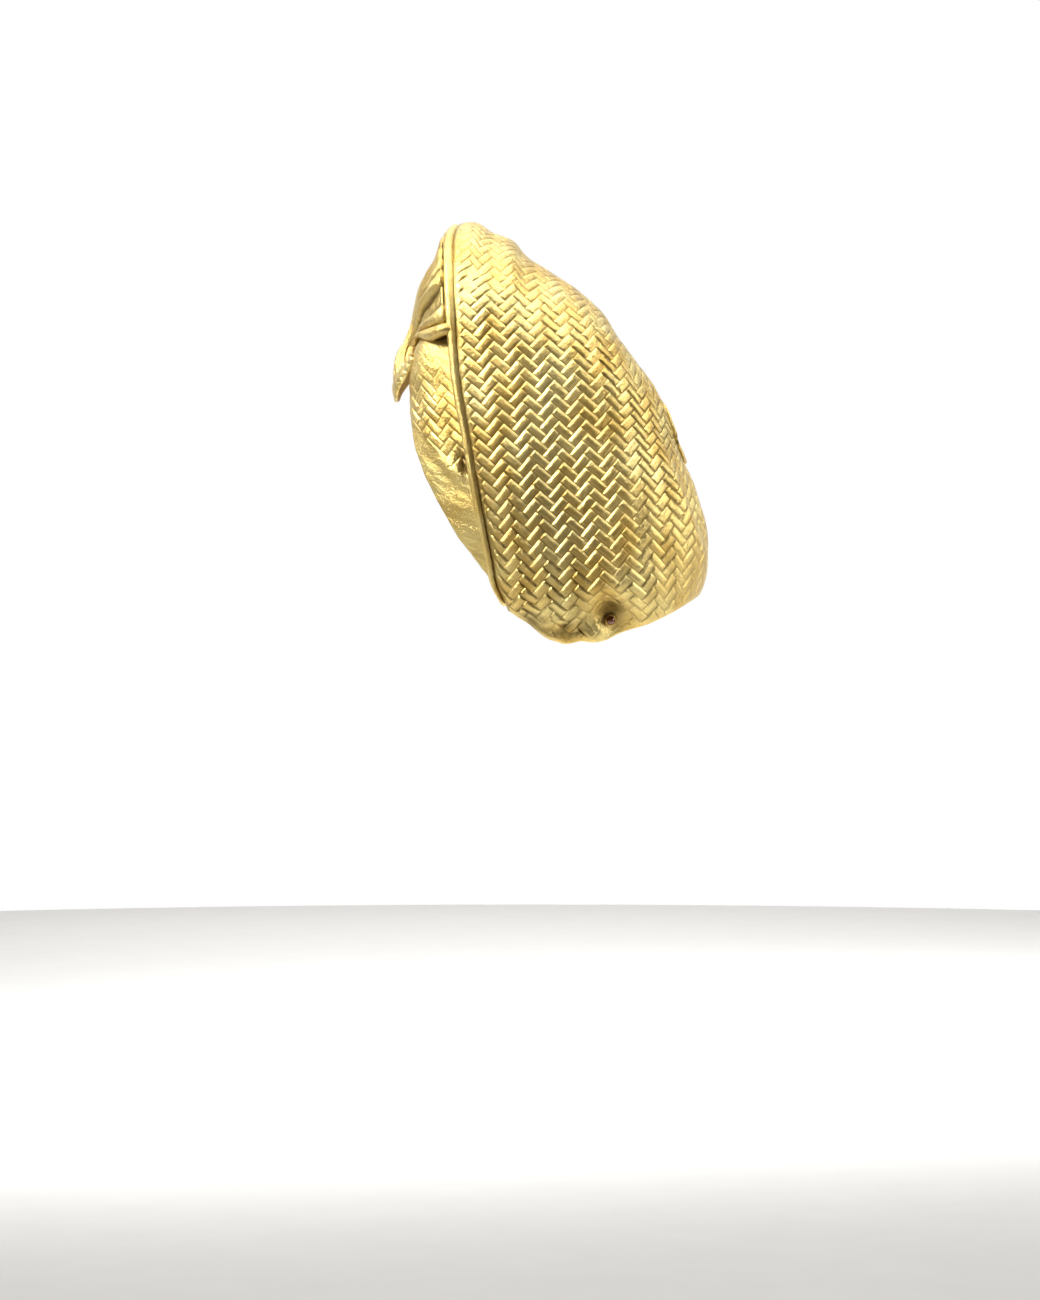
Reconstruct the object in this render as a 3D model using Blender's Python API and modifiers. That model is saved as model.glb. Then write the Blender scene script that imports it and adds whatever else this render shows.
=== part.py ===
"""Turban headband in its worn form: a wide hood with a piped front rim and an opening at the back of
the crown, a pleated drape under the peak, a band round the temples, and a button on each side.

The origin is the top of the wearer's head, +Z is up, the face looks along -Y, and +X is the wearer's
left. Tables hold millimetres, and every mesh is written in metres.
"""

import math

import bmesh
import bpy
import numpy as np
from mathutils import Vector

MM = 0.001

# Walls and gaps
HOOD_WALL = 2.4
DRAPE_WALL = 2.2
BAND_WALL = 2.4
GAP = 0.4

# Hood: the crown is the arched top of each cross arch, the tail its rounding to the middle of the back
CROWN_DEPTH_RIM = 78.0
CROWN_DEPTH_BACK = 60.0
CROWN_POWER = 2.25
TAIL_POWER = 2.8
OPENING_HALF_WIDTH = 34.0
OPENING_SHARE = 0.44

# Piping on the front rim, thick over the peak and thin at the jaw
PIPING_RADIUS = 3.6
PIPING_END_RADIUS = 2.5
PIPING_SINK = 1.6
PIPING_PEAK_SINK = 3.6
PIPING_POINTS = 58

# Gap between the piping and the hood's rim towards the jaw, where the rim's wall leans forwards
JAW_GAP = 1.8

# Drape: height at which its side rolls leave the rim, and where along its length the pinch lies
DRAPE_LOW = -3.0
PINCH_SHARE = 0.60
BROW_POWERS = np.array([1.0, 2.2, 1.5])

# Folds of the drape: where they start and are full, and how they flatten at the pinch
FOLD_START = 0.10
FOLD_FULL = 0.26
FOLD_ROUNDNESS = 0.8
PINCH_FLATTENING = 0.45
PINCH_LENGTH = 0.09
INNER_FOLD = 0.5

# Temple band: how far its middle stands out from its edges
BAND_CROWN = 4.5

# Button in its dimple
BUTTON_RADIUS = 3.4
BUTTON_HEIGHT = 3.0
BUTTON_LIFT = 0.9
BUTTON_Y = 43.5
BUTTON_Z = -188.0

# Mesh sizes: rows above and below the foot of the crown opening, then columns from rim to back
ROWS_ABOVE = 17
ROWS_BELOW = 16
HOOD_COLUMNS = 19
DRAPE_COLUMNS = 28
DRAPE_ROWS = 15
BAND_ROWS = 24
BAND_COLUMNS = 5


def table(columns, *rows):
    """Named columns of numbers, one row for each section."""
    values = np.array(rows, float)
    return {name: values[:, i] for i, name in enumerate(columns.split())}


# Front rim seen from the side, from the peak down to the jaw
RIM = table(
    "y z",
    (-50.5, 69.0),
    (-53.8, 60.0),
    (-54.4, 39.0),
    (-53.9, 15.0),
    (-52.4, -8.0),
    (-49.7, -40.0),
    (-44.2, -73.0),
    (-38.0, -109.0),
    (-33.8, -130.0),
    (-29.6, -151.0),
    (-26.6, -168.0),
    (-20.5, -181.0),
)

# Top ridge on the middle plane, from the peak back to the crown opening
RIDGE = table(
    "y z",
    (-50.5, 69.0),
    (-41.0, 69.4),
    (-31.0, 63.4),
    (-16.5, 56.8),
    (-9.5, 48.6),
    (5.2, 38.9),
    (26.0, 24.1),
    (37.5, 14.2),
    (47.0, 0.0),
    (56.8, -14.0),
    (65.0, -25.5),
)

# Back edge: round the crown opening, then down the middle of the back to the hem
BACK = table(
    "y z",
    (65.0, -25.5),
    (75.0, -42.2),
    (81.9, -58.1),
    (86.6, -73.5),
    (93.2, -87.3),
    (102.2, -108.6),
    (108.2, -130.7),
    (108.8, -146.0),
    (106.8, -162.0),
    (104.0, -171.0),
)

# Hem seen from the side, from the jaw back to the middle of the back
HEM = table(
    "y z",
    (-20.5, -181.0),
    (-10.0, -188.5),
    (3.3, -197.6),
    (16.3, -202.6),
    (28.0, -200.6),
    (38.0, -201.8),
    (47.5, -199.0),
    (57.0, -194.8),
    (66.0, -191.6),
    (86.0, -182.4),
    (104.0, -171.0),
)

# Half width of the hood against the share of its height, from the ridge (0) to the hem (1)
WIDTH = table(
    "share rim middle back",
    (0.00, 73.5, 82.0, 79.0),
    (0.30, 75.0, 86.0, 82.0),
    (0.50, 77.0, 90.0, 86.0),
    (0.70, 75.5, 90.0, 88.0),
    (0.85, 69.5, 83.0, 84.0),
    (1.00, 58.0, 63.0, 67.0),
)

# Dents (positive depth) and bulges of the side, seen from the side: place, reach and tilt in degrees
DENTS = table(
    "y z depth along across tilt",
    (BUTTON_Y, BUTTON_Z, 8.0, 11.0, 12.0, 0.0),
    (36.0, -198.0, -3.0, 9.0, 6.0, 20.0),
    (20.0, -105.0, 4.0, 52.0, 26.0, 97.0),
    (92.0, -118.0, -2.6, 34.0, 6.0, 114.0),
    (76.0, -150.0, 2.4, 26.0, 11.0, 128.0),
    (2.0, -184.0, 2.6, 14.0, 5.0, 150.0),
    (-11.0, -176.0, -1.6, 12.0, 5.0, 130.0),
)

# Drape's top edge against the piping: tucked behind and under it, then out in front of it
TUCK = table(
    "share forward outward",
    (0.00, -7.0, -4.7),
    (0.05, -1.0, -4.9),
    (0.10, 3.7, -3.7),
    (0.16, 4.9, -1.4),
)

# Drape on the middle plane, from the front of the piping over the pinch to the forehead
FRONT = table(
    "y z",
    (-56.5, 61.0),
    (-57.5, 53.5),
    (-60.5, 46.0),
    (-67.0, 38.5),
    (-75.5, 26.0),
    (-79.0, 14.0),
    (-81.0, 4.0),
    (-85.0, -6.5),
    (-90.5, -16.0),
    (-94.0, -29.0),
    (-94.0, -45.0),
)

# Side edge of the drape: from the rim in to the pinch, then down over the temple band
ROLL = table(
    "x y z",
    (72.5, -62.0, -3.0),
    (65.0, -66.0, -4.0),
    (55.5, -70.0, -4.6),
    (45.5, -73.3, -5.0),
    (36.0, -76.0, -6.0),
    (28.0, -78.0, -8.0),
    (23.5, -79.0, -11.0),
    (23.5, -79.8, -14.0),
    (27.5, -80.4, -16.5),
    (33.0, -80.8, -17.8),
    (38.0, -80.8, -18.0),
)

# Lower edge of the drape over the forehead, from the middle to the side
BROW = table(
    "x y z",
    (0.0, -94.0, -45.0),
    (12.0, -93.4, -43.5),
    (22.0, -92.0, -38.5),
    (30.0, -87.5, -31.0),
    (35.5, -83.5, -24.0),
    (38.0, -80.8, -18.0),
)

# Folds of the drape from the middle (0) to the side roll (1), with crests that rise forwards
FOLDS = table(
    "place height half_width",
    (0.00, 2.0, 0.12),
    (0.24, 2.4, 0.11),
    (0.44, 2.0, 0.09),
    (0.60, 3.6, 0.08),
    (0.72, 2.6, 0.06),
    (0.88, 2.6, 0.06),
    (0.98, 2.4, 0.05),
)

# Temple band: outer face at its front edge and at its hidden back edge, from the middle to the jaw
BAND = table(
    "front_x front_y front_z back_x back_y back_z",
    (0.0, -75.0, -2.5, 0.0, -46.0, 0.0),
    (12.0, -76.0, -6.0, 24.0, -47.0, 0.0),
    (20.0, -79.0, -15.5, 46.0, -48.0, -2.0),
    (25.5, -83.5, -30.0, 61.0, -48.0, -9.0),
    (31.0, -84.0, -43.0, 68.0, -46.0, -24.0),
    (36.5, -83.0, -57.0, 70.5, -43.0, -44.0),
    (42.0, -80.8, -73.0, 71.5, -39.0, -65.0),
    (47.0, -76.0, -89.0, 71.5, -34.5, -86.0),
    (51.5, -69.6, -104.0, 70.5, -30.0, -106.0),
    (55.0, -62.0, -118.0, 68.5, -25.5, -124.0),
    (57.0, -54.6, -130.7, 66.0, -21.0, -140.0),
    (57.5, -46.0, -142.5, 63.0, -16.5, -154.0),
    (57.0, -38.0, -153.0, 60.0, -12.0, -165.0),
    (55.0, -29.6, -164.5, 57.0, -7.0, -175.0),
    (52.0, -19.5, -177.5, 53.5, -1.5, -186.0),
)


def smooth(knots, values, at):
    """Cubic curve through the knots, with each knot's slope taken from its two neighbours."""
    slopes = np.gradient(values, knots)
    i = np.clip(np.searchsorted(knots, at, side="right") - 1, 0, len(knots) - 2)
    step = knots[i + 1] - knots[i]
    s = (at - knots[i]) / step
    low = (1 + 2 * s) * (1 - s) ** 2 * values[i] + s * (1 - s) ** 2 * step * slopes[i]
    high = s * s * (3 - 2 * s) * values[i + 1] + s * s * (s - 1) * step * slopes[i + 1]
    return low + high


def lengths_along(points):
    """Running length along a line of points, from 0."""
    steps = np.linalg.norm(np.diff(points, axis=0), axis=1)
    return np.concatenate([[0.0], np.cumsum(steps)])


def curve(rows, columns, share):
    """Points at the given shares of the length of the smooth line through a table's rows."""
    points = np.stack([rows[c] for c in columns.split()], axis=-1)
    knots = lengths_along(points)
    at = np.asarray(share) * knots[-1]
    return np.stack([smooth(knots, points[:, i], at) for i in range(points.shape[1])], axis=-1)


def evenly(points, shares):
    """A line of points laid out again at the given shares of its length."""
    run = lengths_along(points)
    at = np.asarray(shares) * run[-1]
    return np.stack([np.interp(at, run, points[:, i]) for i in range(3)], axis=-1)


def superellipse(share, power):
    """Height of a rounded quarter, from 0 at share 0 to 1 at share 1."""
    return (1 - (1 - np.clip(share, 0, 1)) ** power) ** (1 / power)


def corner(rows, i):
    """A corner of the hood seen from the side: the first or last row of a table."""
    return np.array([rows["y"][i], rows["z"][i]])


def side_view(h, v):
    """The hood seen from the side: a patch stretched between its rim, back edge, ridge and hem."""
    rim, back = curve(RIM, "y z", h), curve(BACK, "y z", h)
    ridge, hem = curve(RIDGE, "y z", v), curve(HEM, "y z", v)
    h, v = h[..., None], v[..., None]
    peak, brow, jaw, heel = (corner(rows, i) for i in (0, -1) for rows in (RIM, BACK))
    corners = (1 - h) * ((1 - v) * peak + v * brow) + h * ((1 - v) * jaw + v * heel)
    return (1 - v) * rim + v * back + (1 - h) * ridge + h * hem - corners


def half_width(h, v):
    """Half width of the hood: the side's own width, arched to the ridge and rounded to the back."""
    at_rim, at_middle, at_back = (
        smooth(WIDTH["share"], WIDTH[c], h) for c in ("rim", "middle", "back")
    )
    full = at_rim * (1 - v) * (1 - 2 * v) + 4 * at_middle * v * (1 - v) + at_back * v * (2 * v - 1)
    rim_length = lengths_along(np.stack([RIM["y"], RIM["z"]], axis=-1))[-1]
    back_length = lengths_along(np.stack([BACK["y"], BACK["z"]], axis=-1))[-1]
    drop = h * ((1 - v) * rim_length + v * back_length)
    depth = (1 - v) * CROWN_DEPTH_RIM + v * CROWN_DEPTH_BACK
    arched = full * superellipse(drop / depth, CROWN_POWER)

    arched_back = at_back * superellipse(h * back_length / CROWN_DEPTH_BACK, CROWN_POWER)
    round_opening = 1 - (2 * h / OPENING_SHARE - 1) ** 2
    opening = OPENING_HALF_WIDTH * np.sqrt(np.clip(round_opening, 0, 1))
    left_open = np.clip(opening / np.maximum(arched_back, 1e-6), 0, 1)
    reach = (1 - left_open**TAIL_POWER) ** (1 / TAIL_POWER)
    return arched * (1 - (v * reach) ** TAIL_POWER) ** (1 / TAIL_POWER)


def normals_of(points):
    """Unit normals outwards of a grid of points, whose rows run down and columns to the left or back."""
    normal = np.cross(np.gradient(points, axis=0), np.gradient(points, axis=1))
    return normal / np.maximum(np.linalg.norm(normal, axis=-1, keepdims=True), 1e-12)


def dented(points, normals):
    """Pushes the side in at each dent and out at each bulge, with a bell-shaped fall-off."""
    push = np.zeros(points.shape[:2])
    for i in range(len(DENTS["y"])):
        y, z, depth, along, across, tilt = (DENTS[c][i] for c in DENTS)
        turn = math.radians(tilt)
        dy, dz = points[..., 1] - y, points[..., 2] - z
        u = (dy * math.cos(turn) + dz * math.sin(turn)) / along
        w = (-dy * math.sin(turn) + dz * math.cos(turn)) / across
        push += depth * np.exp(-u * u - w * w)
    on_side = np.clip(points[..., 0] / 30.0, 0, 1)
    return points - normals * (push * on_side)[..., None]


def surface(h, v):
    """Outer face of the hood before its dents, at shares down it (h) and back from the rim (v)."""
    return np.concatenate([half_width(h, v)[..., None], side_view(h, v)], axis=-1)


def hood_half(rows_above, rows_below, columns):
    """Outer face of the wearer's left half of the hood, as an evenly spaced grid of points."""
    fine = np.linspace(0, 1, 161)
    above = OPENING_SHARE * fine**2
    below = OPENING_SHARE + (1 - OPENING_SHARE) * fine
    lines = []
    for shares, rows in ((above, rows_above), (below, rows_below)):
        dense = surface(*np.meshgrid(shares, 1 - (1 - fine) ** 2, indexing="ij"))
        at = np.linspace(0, 1, rows + 1)
        lines.append(np.stack([evenly(dense[:, j], at) for j in range(len(fine))], axis=1))
    at = np.linspace(0, 1, columns + 1)
    grid = np.stack([evenly(line, at) for line in np.concatenate([lines[0], lines[1][1:]])])
    normals = normals_of(grid)
    middle = grid[..., 0] < 1e-6
    normals[middle, 0] = 0
    grid = dented(grid, unit(normals))
    grid[middle, 0] = 0
    return grid


def rim_share(part):
    """Share down the hood at a part of the way round the rim from the peak (0) to the jaw (1)."""
    share = np.linspace(0, 1, 401) ** 2
    run = lengths_along(surface(share, np.zeros_like(share)))
    return np.interp(part, run / run[-1], share)


def rim_frame(share):
    """Points on the left front rim, with the unit directions forwards and outwards there."""
    h = np.clip(np.asarray(share, float), 0, 1)
    edge = surface(h, np.zeros_like(h))
    forward = unit(edge - surface(h, np.full_like(h, 0.02)))
    along = surface(np.minimum(h + 1e-3, 1), np.zeros_like(h))
    along = unit(along - surface(np.maximum(h - 1e-3, 0), np.zeros_like(h)))
    outward = unit(np.cross(forward, along))
    return edge, forward, outward


def unit(vectors):
    return vectors / np.linalg.norm(vectors, axis=-1, keepdims=True)


def material(name, colour, roughness, metallic):
    made = bpy.data.materials.new(name)
    made.use_nodes = True
    shader = made.node_tree.nodes["Principled BSDF"]
    shader.inputs["Base Color"].default_value = (*colour, 1.0)
    shader.inputs["Roughness"].default_value = roughness
    shader.inputs["Metallic"].default_value = metallic
    return made


def add_object(name, data, finish, collection):
    data.materials.append(finish)
    made = bpy.data.objects.new(name, data)
    collection.objects.link(made)
    return made


def grid_mesh(name, points):
    """A sheet through a grid of points, its faces turned outwards."""
    rows, columns = points.shape[:2]
    work = bmesh.new()
    verts = [[work.verts.new(p * MM) for p in row] for row in points]
    for i in range(rows - 1):
        for j in range(columns - 1):
            ring = (verts[i][j], verts[i + 1][j], verts[i + 1][j + 1], verts[i][j + 1])
            work.faces.new(ring)
    sheet = bpy.data.meshes.new(name)
    work.to_mesh(sheet)
    work.free()
    sheet.shade_smooth()
    return sheet


def mirror(made):
    """The wearer's right half, joined to the left on the middle plane."""
    both = made.modifiers.new("right half", "MIRROR")
    both.use_axis = (True, False, False)
    both.use_clip = True
    both.merge_threshold = 1e-5


def thicken(made, wall):
    """A wall grown inwards from the outer face."""
    shell = made.modifiers.new("wall", "SOLIDIFY")
    shell.thickness = wall * MM
    shell.offset = -1.0
    shell.use_even_offset = True
    shell.use_quality_normals = True


def build_hood(finish, collection):
    points = hood_half(ROWS_ABOVE, ROWS_BELOW, HOOD_COLUMNS)
    hood = add_object("hood", grid_mesh("hood", points), finish, collection)
    mirror(hood)
    thicken(hood, HOOD_WALL)


def fade(share):
    """Eases from 1 at share 0 to 0 at share 1."""
    share = np.clip(share, 0, 1)
    return 1 - share * share * (3 - 2 * share)


def piping_line(part):
    """The left piping's middle line and radius, with the rim's directions forwards and outwards."""
    edge, forward, outward = rim_frame(rim_share(part))
    radius = PIPING_RADIUS + (PIPING_END_RADIUS - PIPING_RADIUS) * part**2
    sink = PIPING_SINK + (PIPING_PEAK_SINK - PIPING_SINK) * fade(part / 0.25)
    gap = JAW_GAP + (GAP - JAW_GAP) * fade((part - 0.65) / 0.25)
    centre = edge + forward * (radius + gap)[..., None] - outward * sink[..., None]
    return centre, radius, forward, outward


def build_piping(finish, collection):
    """A corded edge in front of the rim, from the wearer's left jaw over the peak to the right."""
    centre, radius, _, _ = piping_line(np.linspace(1, 0, PIPING_POINTS // 2 + 1))
    centre[-1, 0] = 0
    path = np.concatenate([centre, centre[-2::-1] * (-1, 1, 1)])
    width = np.concatenate([radius, radius[-2::-1]]) / PIPING_RADIUS
    line = bpy.data.curves.new("rim_piping", "CURVE")
    line.dimensions = "3D"
    line.bevel_depth = PIPING_RADIUS * MM
    line.bevel_resolution = 3
    line.use_fill_caps = True
    spline = line.splines.new("POLY")
    spline.points.add(len(path) - 1)
    for point, place, share in zip(spline.points, path, width):
        point.co = (*(place * MM), 1.0)
        point.radius = share
    spline.use_smooth = True
    add_object("rim_piping", line, finish, collection)


def fold_height(place, share):
    """Height of the folds at a place out from the middle (0 to 1) and a share of the length."""
    height = np.zeros(np.broadcast(place, share).shape)
    for i in range(len(FOLDS["place"])):
        crest, top, wide = (FOLDS[c][i] for c in FOLDS)
        away = (place - crest) / wide
        height = np.maximum(height, top * np.clip(1 - away * away, 0, 1) ** FOLD_ROUNDNESS)
    risen = 1 - fade((share - FOLD_START) / (FOLD_FULL - FOLD_START))
    gathered = 1 - PINCH_FLATTENING * np.exp(-(((share - PINCH_SHARE) / PINCH_LENGTH) ** 2))
    return height * risen * gathered


def between(middle, side, place):
    """Carries the middle's points out to the side's, with the powers that round it at the brow."""
    weight = place[..., None] ** BROW_POWERS
    return middle * (1 - weight) + side * weight


def drape_half(place, share):
    """Left half of the drape without its folds, from the middle (place 0) to its side edge (1)."""
    start = TUCK["share"][-1]
    run = np.clip((share - start) / (1 - start), 0, 1)
    middle = curve(FRONT, "y z", run)
    middle = np.concatenate([np.zeros_like(middle[..., :1]), middle], axis=-1)
    side = curve(ROLL, "x y z", run)
    brow = curve(BROW, "x y z", place)
    parts = np.linspace(0, 1, 401)
    heights = surface(rim_share(parts), np.zeros_like(parts))[:, 2]
    reach = np.interp(-DRAPE_LOW, -heights, parts)
    edge, _, forward, outward = piping_line(reach * place)
    tucked = np.minimum(share, start)
    fore = np.interp(tucked, TUCK["share"], TUCK["forward"])[..., None]
    out = np.interp(tucked, TUCK["share"], TUCK["outward"])[..., None]
    top = edge + forward * fore + outward * out
    rest = edge + forward * TUCK["forward"][-1] + outward * TUCK["outward"][-1]
    zero, one = np.zeros((1, 1)), np.ones((1, 1))
    firsts = [curve(rows, "x y z", zero) for rows in (ROLL, BROW)]
    lasts = curve(BROW, "x y z", one)
    peak = np.array([0.0, FRONT["y"][0], FRONT["z"][0]])
    pinch = (PINCH_SHARE - start) / (1 - start)
    hold_top = fade(run / pinch)[..., None]
    hold_brow = fade((1 - run) / (1 - pinch))[..., None]
    points = between(middle, side, place)
    points = points + hold_top * (rest - between(peak, firsts[0], place))
    points = points + hold_brow * (brow - between(firsts[1], lasts, place))
    return points + (top - rest)


def shell(name, outer, inner):
    """A closed wall between two grids of points that share their outline's order."""
    rows, columns = outer.shape[:2]
    work = bmesh.new()
    faces = [[[work.verts.new(p * MM) for p in row] for row in grid] for grid in (outer, inner)]
    for i in range(rows - 1):
        for j in range(columns - 1):
            ring = ((i, j), (i + 1, j), (i + 1, j + 1), (i, j + 1))
            work.faces.new([faces[0][a][b] for a, b in ring])
            work.faces.new([faces[1][a][b] for a, b in reversed(ring)])
    outline = [(i, 0) for i in range(rows - 1)]
    outline += [(rows - 1, j) for j in range(columns - 1)]
    outline += [(i, columns - 1) for i in range(rows - 1, 0, -1)]
    outline += [(0, j) for j in range(columns - 1, 0, -1)]
    for (a, b), (c, d) in zip(outline, outline[1:] + outline[:1]):
        work.faces.new((faces[0][c][d], faces[0][a][b], faces[1][a][b], faces[1][c][d]))
    wall = bpy.data.meshes.new(name)
    work.to_mesh(wall)
    work.free()
    wall.shade_smooth()
    return wall


def build_drape(finish, collection):
    place, share = np.meshgrid(
        np.linspace(0, 1, DRAPE_COLUMNS + 1), np.linspace(0, 1, DRAPE_ROWS + 1)
    )
    half = drape_half(place, share)
    half[:, 0, 0] = 0
    base = np.concatenate([half[:, :0:-1] * (-1, 1, 1), half], axis=1)
    normals = normals_of(base)
    height = fold_height(place, share)
    height = np.concatenate([height[:, :0:-1], height], axis=1)[..., None]
    outer = base + normals * height
    inner = base + normals * (INNER_FOLD * height - DRAPE_WALL)
    add_object("front_drape", shell("front_drape", outer, inner), finish, collection)


def build_band(finish, collection):
    """Both temples' band in one piece, crossing over the forehead under the drape."""
    along = np.linspace(0, 1, BAND_ROWS + 1)
    front = curve(BAND, "front_x front_y front_z", along)
    back = curve(BAND, "back_x back_y back_z", along)
    across = np.linspace(0, 1, BAND_COLUMNS + 1)[None, :, None]
    flat = front[:, None] * (1 - across) + back[:, None] * across
    normals = normals_of(flat)
    normals[0, :, 0] = 0
    arch = BAND_CROWN * (1 - along**2)[:, None, None]
    crowned = flat + unit(normals) * (4 * across * (1 - across)) * arch
    crowned[0, :, 0] = 0
    band = add_object("temple_band", grid_mesh("temple_band", crowned), finish, collection)
    mirror(band)
    thicken(band, BAND_WALL)


def button_mesh():
    """A domed button on a short shank, turned about +Z with its foot at the origin."""
    profile = [
        (0.0, 0.0),
        (0.30 * BUTTON_RADIUS, 0.0),
        (0.30 * BUTTON_RADIUS, 0.34 * BUTTON_HEIGHT),
        (0.92 * BUTTON_RADIUS, 0.42 * BUTTON_HEIGHT),
        (BUTTON_RADIUS, 0.55 * BUTTON_HEIGHT),
        (0.82 * BUTTON_RADIUS, 0.80 * BUTTON_HEIGHT),
        (0.45 * BUTTON_RADIUS, 0.95 * BUTTON_HEIGHT),
        (0.0, BUTTON_HEIGHT),
    ]
    work = bmesh.new()
    line = [work.verts.new((r * MM, 0, z * MM)) for r, z in profile[::-1]]
    for a, b in zip(line, line[1:]):
        work.edges.new((a, b))
    shape = bpy.data.meshes.new("button")
    work.to_mesh(shape)
    work.free()
    return shape


def build_buttons(finish, collection):
    points = hood_half(3 * ROWS_ABOVE, 3 * ROWS_BELOW, 3 * HOOD_COLUMNS)
    away = (points[..., 1] - BUTTON_Y) ** 2 + (points[..., 2] - BUTTON_Z) ** 2
    nearest = np.unravel_index(np.argmin(away), away.shape)
    seat = points[nearest]
    outward = normals_of(points)[nearest]
    for name, side in (("button_left", 1), ("button_right", -1)):
        button = add_object(name, button_mesh(), finish, collection)
        turned = button.modifiers.new("turned", "SCREW")
        turned.steps = turned.render_steps = 14
        turned.use_merge_vertices = True
        turned.merge_threshold = 1e-5
        axis = Vector((outward[0] * side, outward[1], outward[2]))
        place = Vector((seat[0] * side, seat[1], seat[2])) + axis * BUTTON_LIFT
        button.location = place * MM
        button.rotation_mode = "QUATERNION"
        button.rotation_quaternion = axis.to_track_quat("Z", "Y")


def main():
    for old in list(bpy.data.objects):
        bpy.data.objects.remove(old)
    collection = bpy.data.collections.new("turban_headband")
    bpy.context.scene.collection.children.link(collection)
    gold = material("gold foil jersey", (0.74, 0.53, 0.19), 0.42, 0.8)
    plain_gold = material("gold foil binding", (0.76, 0.56, 0.22), 0.38, 0.8)
    bronze = material("bronze button", (0.20, 0.09, 0.03), 0.25, 0.9)
    build_hood(gold, collection)
    build_piping(plain_gold, collection)
    build_drape(gold, collection)
    build_band(gold, collection)
    build_buttons(bronze, collection)


main()
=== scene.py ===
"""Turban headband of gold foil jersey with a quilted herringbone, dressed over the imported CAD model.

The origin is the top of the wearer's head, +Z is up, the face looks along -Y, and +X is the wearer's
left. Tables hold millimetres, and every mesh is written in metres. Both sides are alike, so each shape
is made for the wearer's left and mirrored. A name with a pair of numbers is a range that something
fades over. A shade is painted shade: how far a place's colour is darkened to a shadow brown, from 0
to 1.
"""

import math

import bpy
import numpy as np
from mathutils import Matrix, Vector

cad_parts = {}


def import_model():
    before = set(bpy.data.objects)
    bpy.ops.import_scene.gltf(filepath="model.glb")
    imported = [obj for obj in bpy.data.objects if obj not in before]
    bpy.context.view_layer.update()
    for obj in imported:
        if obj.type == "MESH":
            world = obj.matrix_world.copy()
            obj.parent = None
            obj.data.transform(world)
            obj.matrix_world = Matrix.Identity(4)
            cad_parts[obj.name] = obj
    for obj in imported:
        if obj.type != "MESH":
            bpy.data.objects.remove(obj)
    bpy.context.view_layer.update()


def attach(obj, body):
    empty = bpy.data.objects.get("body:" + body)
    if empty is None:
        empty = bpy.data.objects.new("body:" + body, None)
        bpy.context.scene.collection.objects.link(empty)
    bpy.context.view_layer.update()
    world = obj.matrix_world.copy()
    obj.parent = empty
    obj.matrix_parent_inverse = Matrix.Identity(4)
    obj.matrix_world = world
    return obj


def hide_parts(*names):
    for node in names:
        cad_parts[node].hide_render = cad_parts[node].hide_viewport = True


MM = 0.001
FLIP = (-1, 1, 1)

# Walls and gaps of the cloth
HOOD_WALL = 2.4
DRAPE_WALL = 2.2
ROLL_WALL = 1.4
BAND_WALL = 2.4
GAP = 0.4
JAW_GAP = 1.8

# Hood, with the drop from its ridge to where the side hangs straight, and the seam down its back
CROWN_DEPTH_RIM = 78.0
CROWN_DEPTH_BACK = 60.0
CROWN_POWER = 2.25
TAIL_POWER = 2.8
ARCH_DROP = 34.0
OPENING_HALF_WIDTH = 34.0
OPENING_SHARE = 0.44
HOOD_ROUNDS = 6
SEAM_WIDTH = 1.5
SEAM_DEPTH = 0.9

# Piping on the front rim, with parts of the way from the peak (0) to the jaw (1)
PIPING_RADIUS = 3.6
PIPING_END_RADIUS = 2.5
PIPING_END = 2.5
PIPING_FLATNESS = 0.94
PIPING_SINK = 1.6
PIPING_PEAK_SINK = 3.6
PEAK_PARTS = (0.0, 0.25)
JAW_PARTS = (0.65, 0.90)
RIDGED_PARTS = (0.45, 0.80)
RIDGES = 7
RIDGE_HEIGHT = 0.035
SEAM_PUCKER = 0.05
SEAM_PUCKER_SPACING = 6.5

# Drape, with shares of the way from its top edge (0) to the brow (1)
DRAPE_LOW = -3.0
PINCH_SHARE = 0.60
BROW_POWERS = np.array([1.0, 2.2, 1.5])
DRAPE_ROUNDS = 3
DRAPE_QUILTING = 0.12
FOLD_RISE = (0.06, 0.26)
FOLD_CALM = (0.78, 0.94)
FOLD_AT_BROW = 0.36
FOLD_ROUNDNESS = 0.55
STEEPEST_FOLD = 1.4
VALLEY_START = 0.55
HEM_ROLL = 1.8
HEM_ROLL_SHARE = 0.045
HOLLOW_SHARES = (0.70, 0.90)
HOLLOW_DEPTH = 0.5
# Painted shade in the valleys between the folds, and along the top edge where it comes out from under the
# piping
VALLEY_SHADE = 0.95
TOP_SHADE = 0.80
TOP_SHARES = (0.11, 0.18)

# Side roll of the drape: its arc in degrees, its middle from the edge in radii, its thin start, its crease
ROLL_ARC = (-37, 225)
ROLL_AWAY = 0.8
ROLL_OUT = 0.6
ROLL_START_SHARES = (0.04, 0.13)
ROLL_START = 0.6
CREASE_SHARE = 0.475
CREASE_WIDTH = 0.014
CREASE_LEAN = 0.05
CREASE_TURN = 1.7
CREASE_DEPTH = 0.30
# Painted shade where the roll leaves the fan, and on the roll's underside
ROLL_EDGE_SHADE = 0.85
ROLL_EDGE = 0.10
ROLL_UNDER_SHADE = 0.6

# Band, with its swell at the temple and the shadow of the side roll on it
BAND_CROWN = 4.5
TEMPLE_SWELL = 7.0
TEMPLE_SHARE = 0.2
TEMPLE_REACH = 0.11
BAND_QUILT_HEIGHT = 0.44
BAND_ROW = -60.0
BAND_EDGE = (1.0, 6.0)
FOLD_EDGE = (-1.0, 5.0)
ROLL_SHADOW_Z = -8.5
ROLL_SHADOW_REACH = 3.0
ROLL_SHADOW_X = 30.0
ROLL_SHADOW = 0.50
JAW_SHADE = 0.27
JAW_Z = (-150.0, -90.0)

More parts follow.
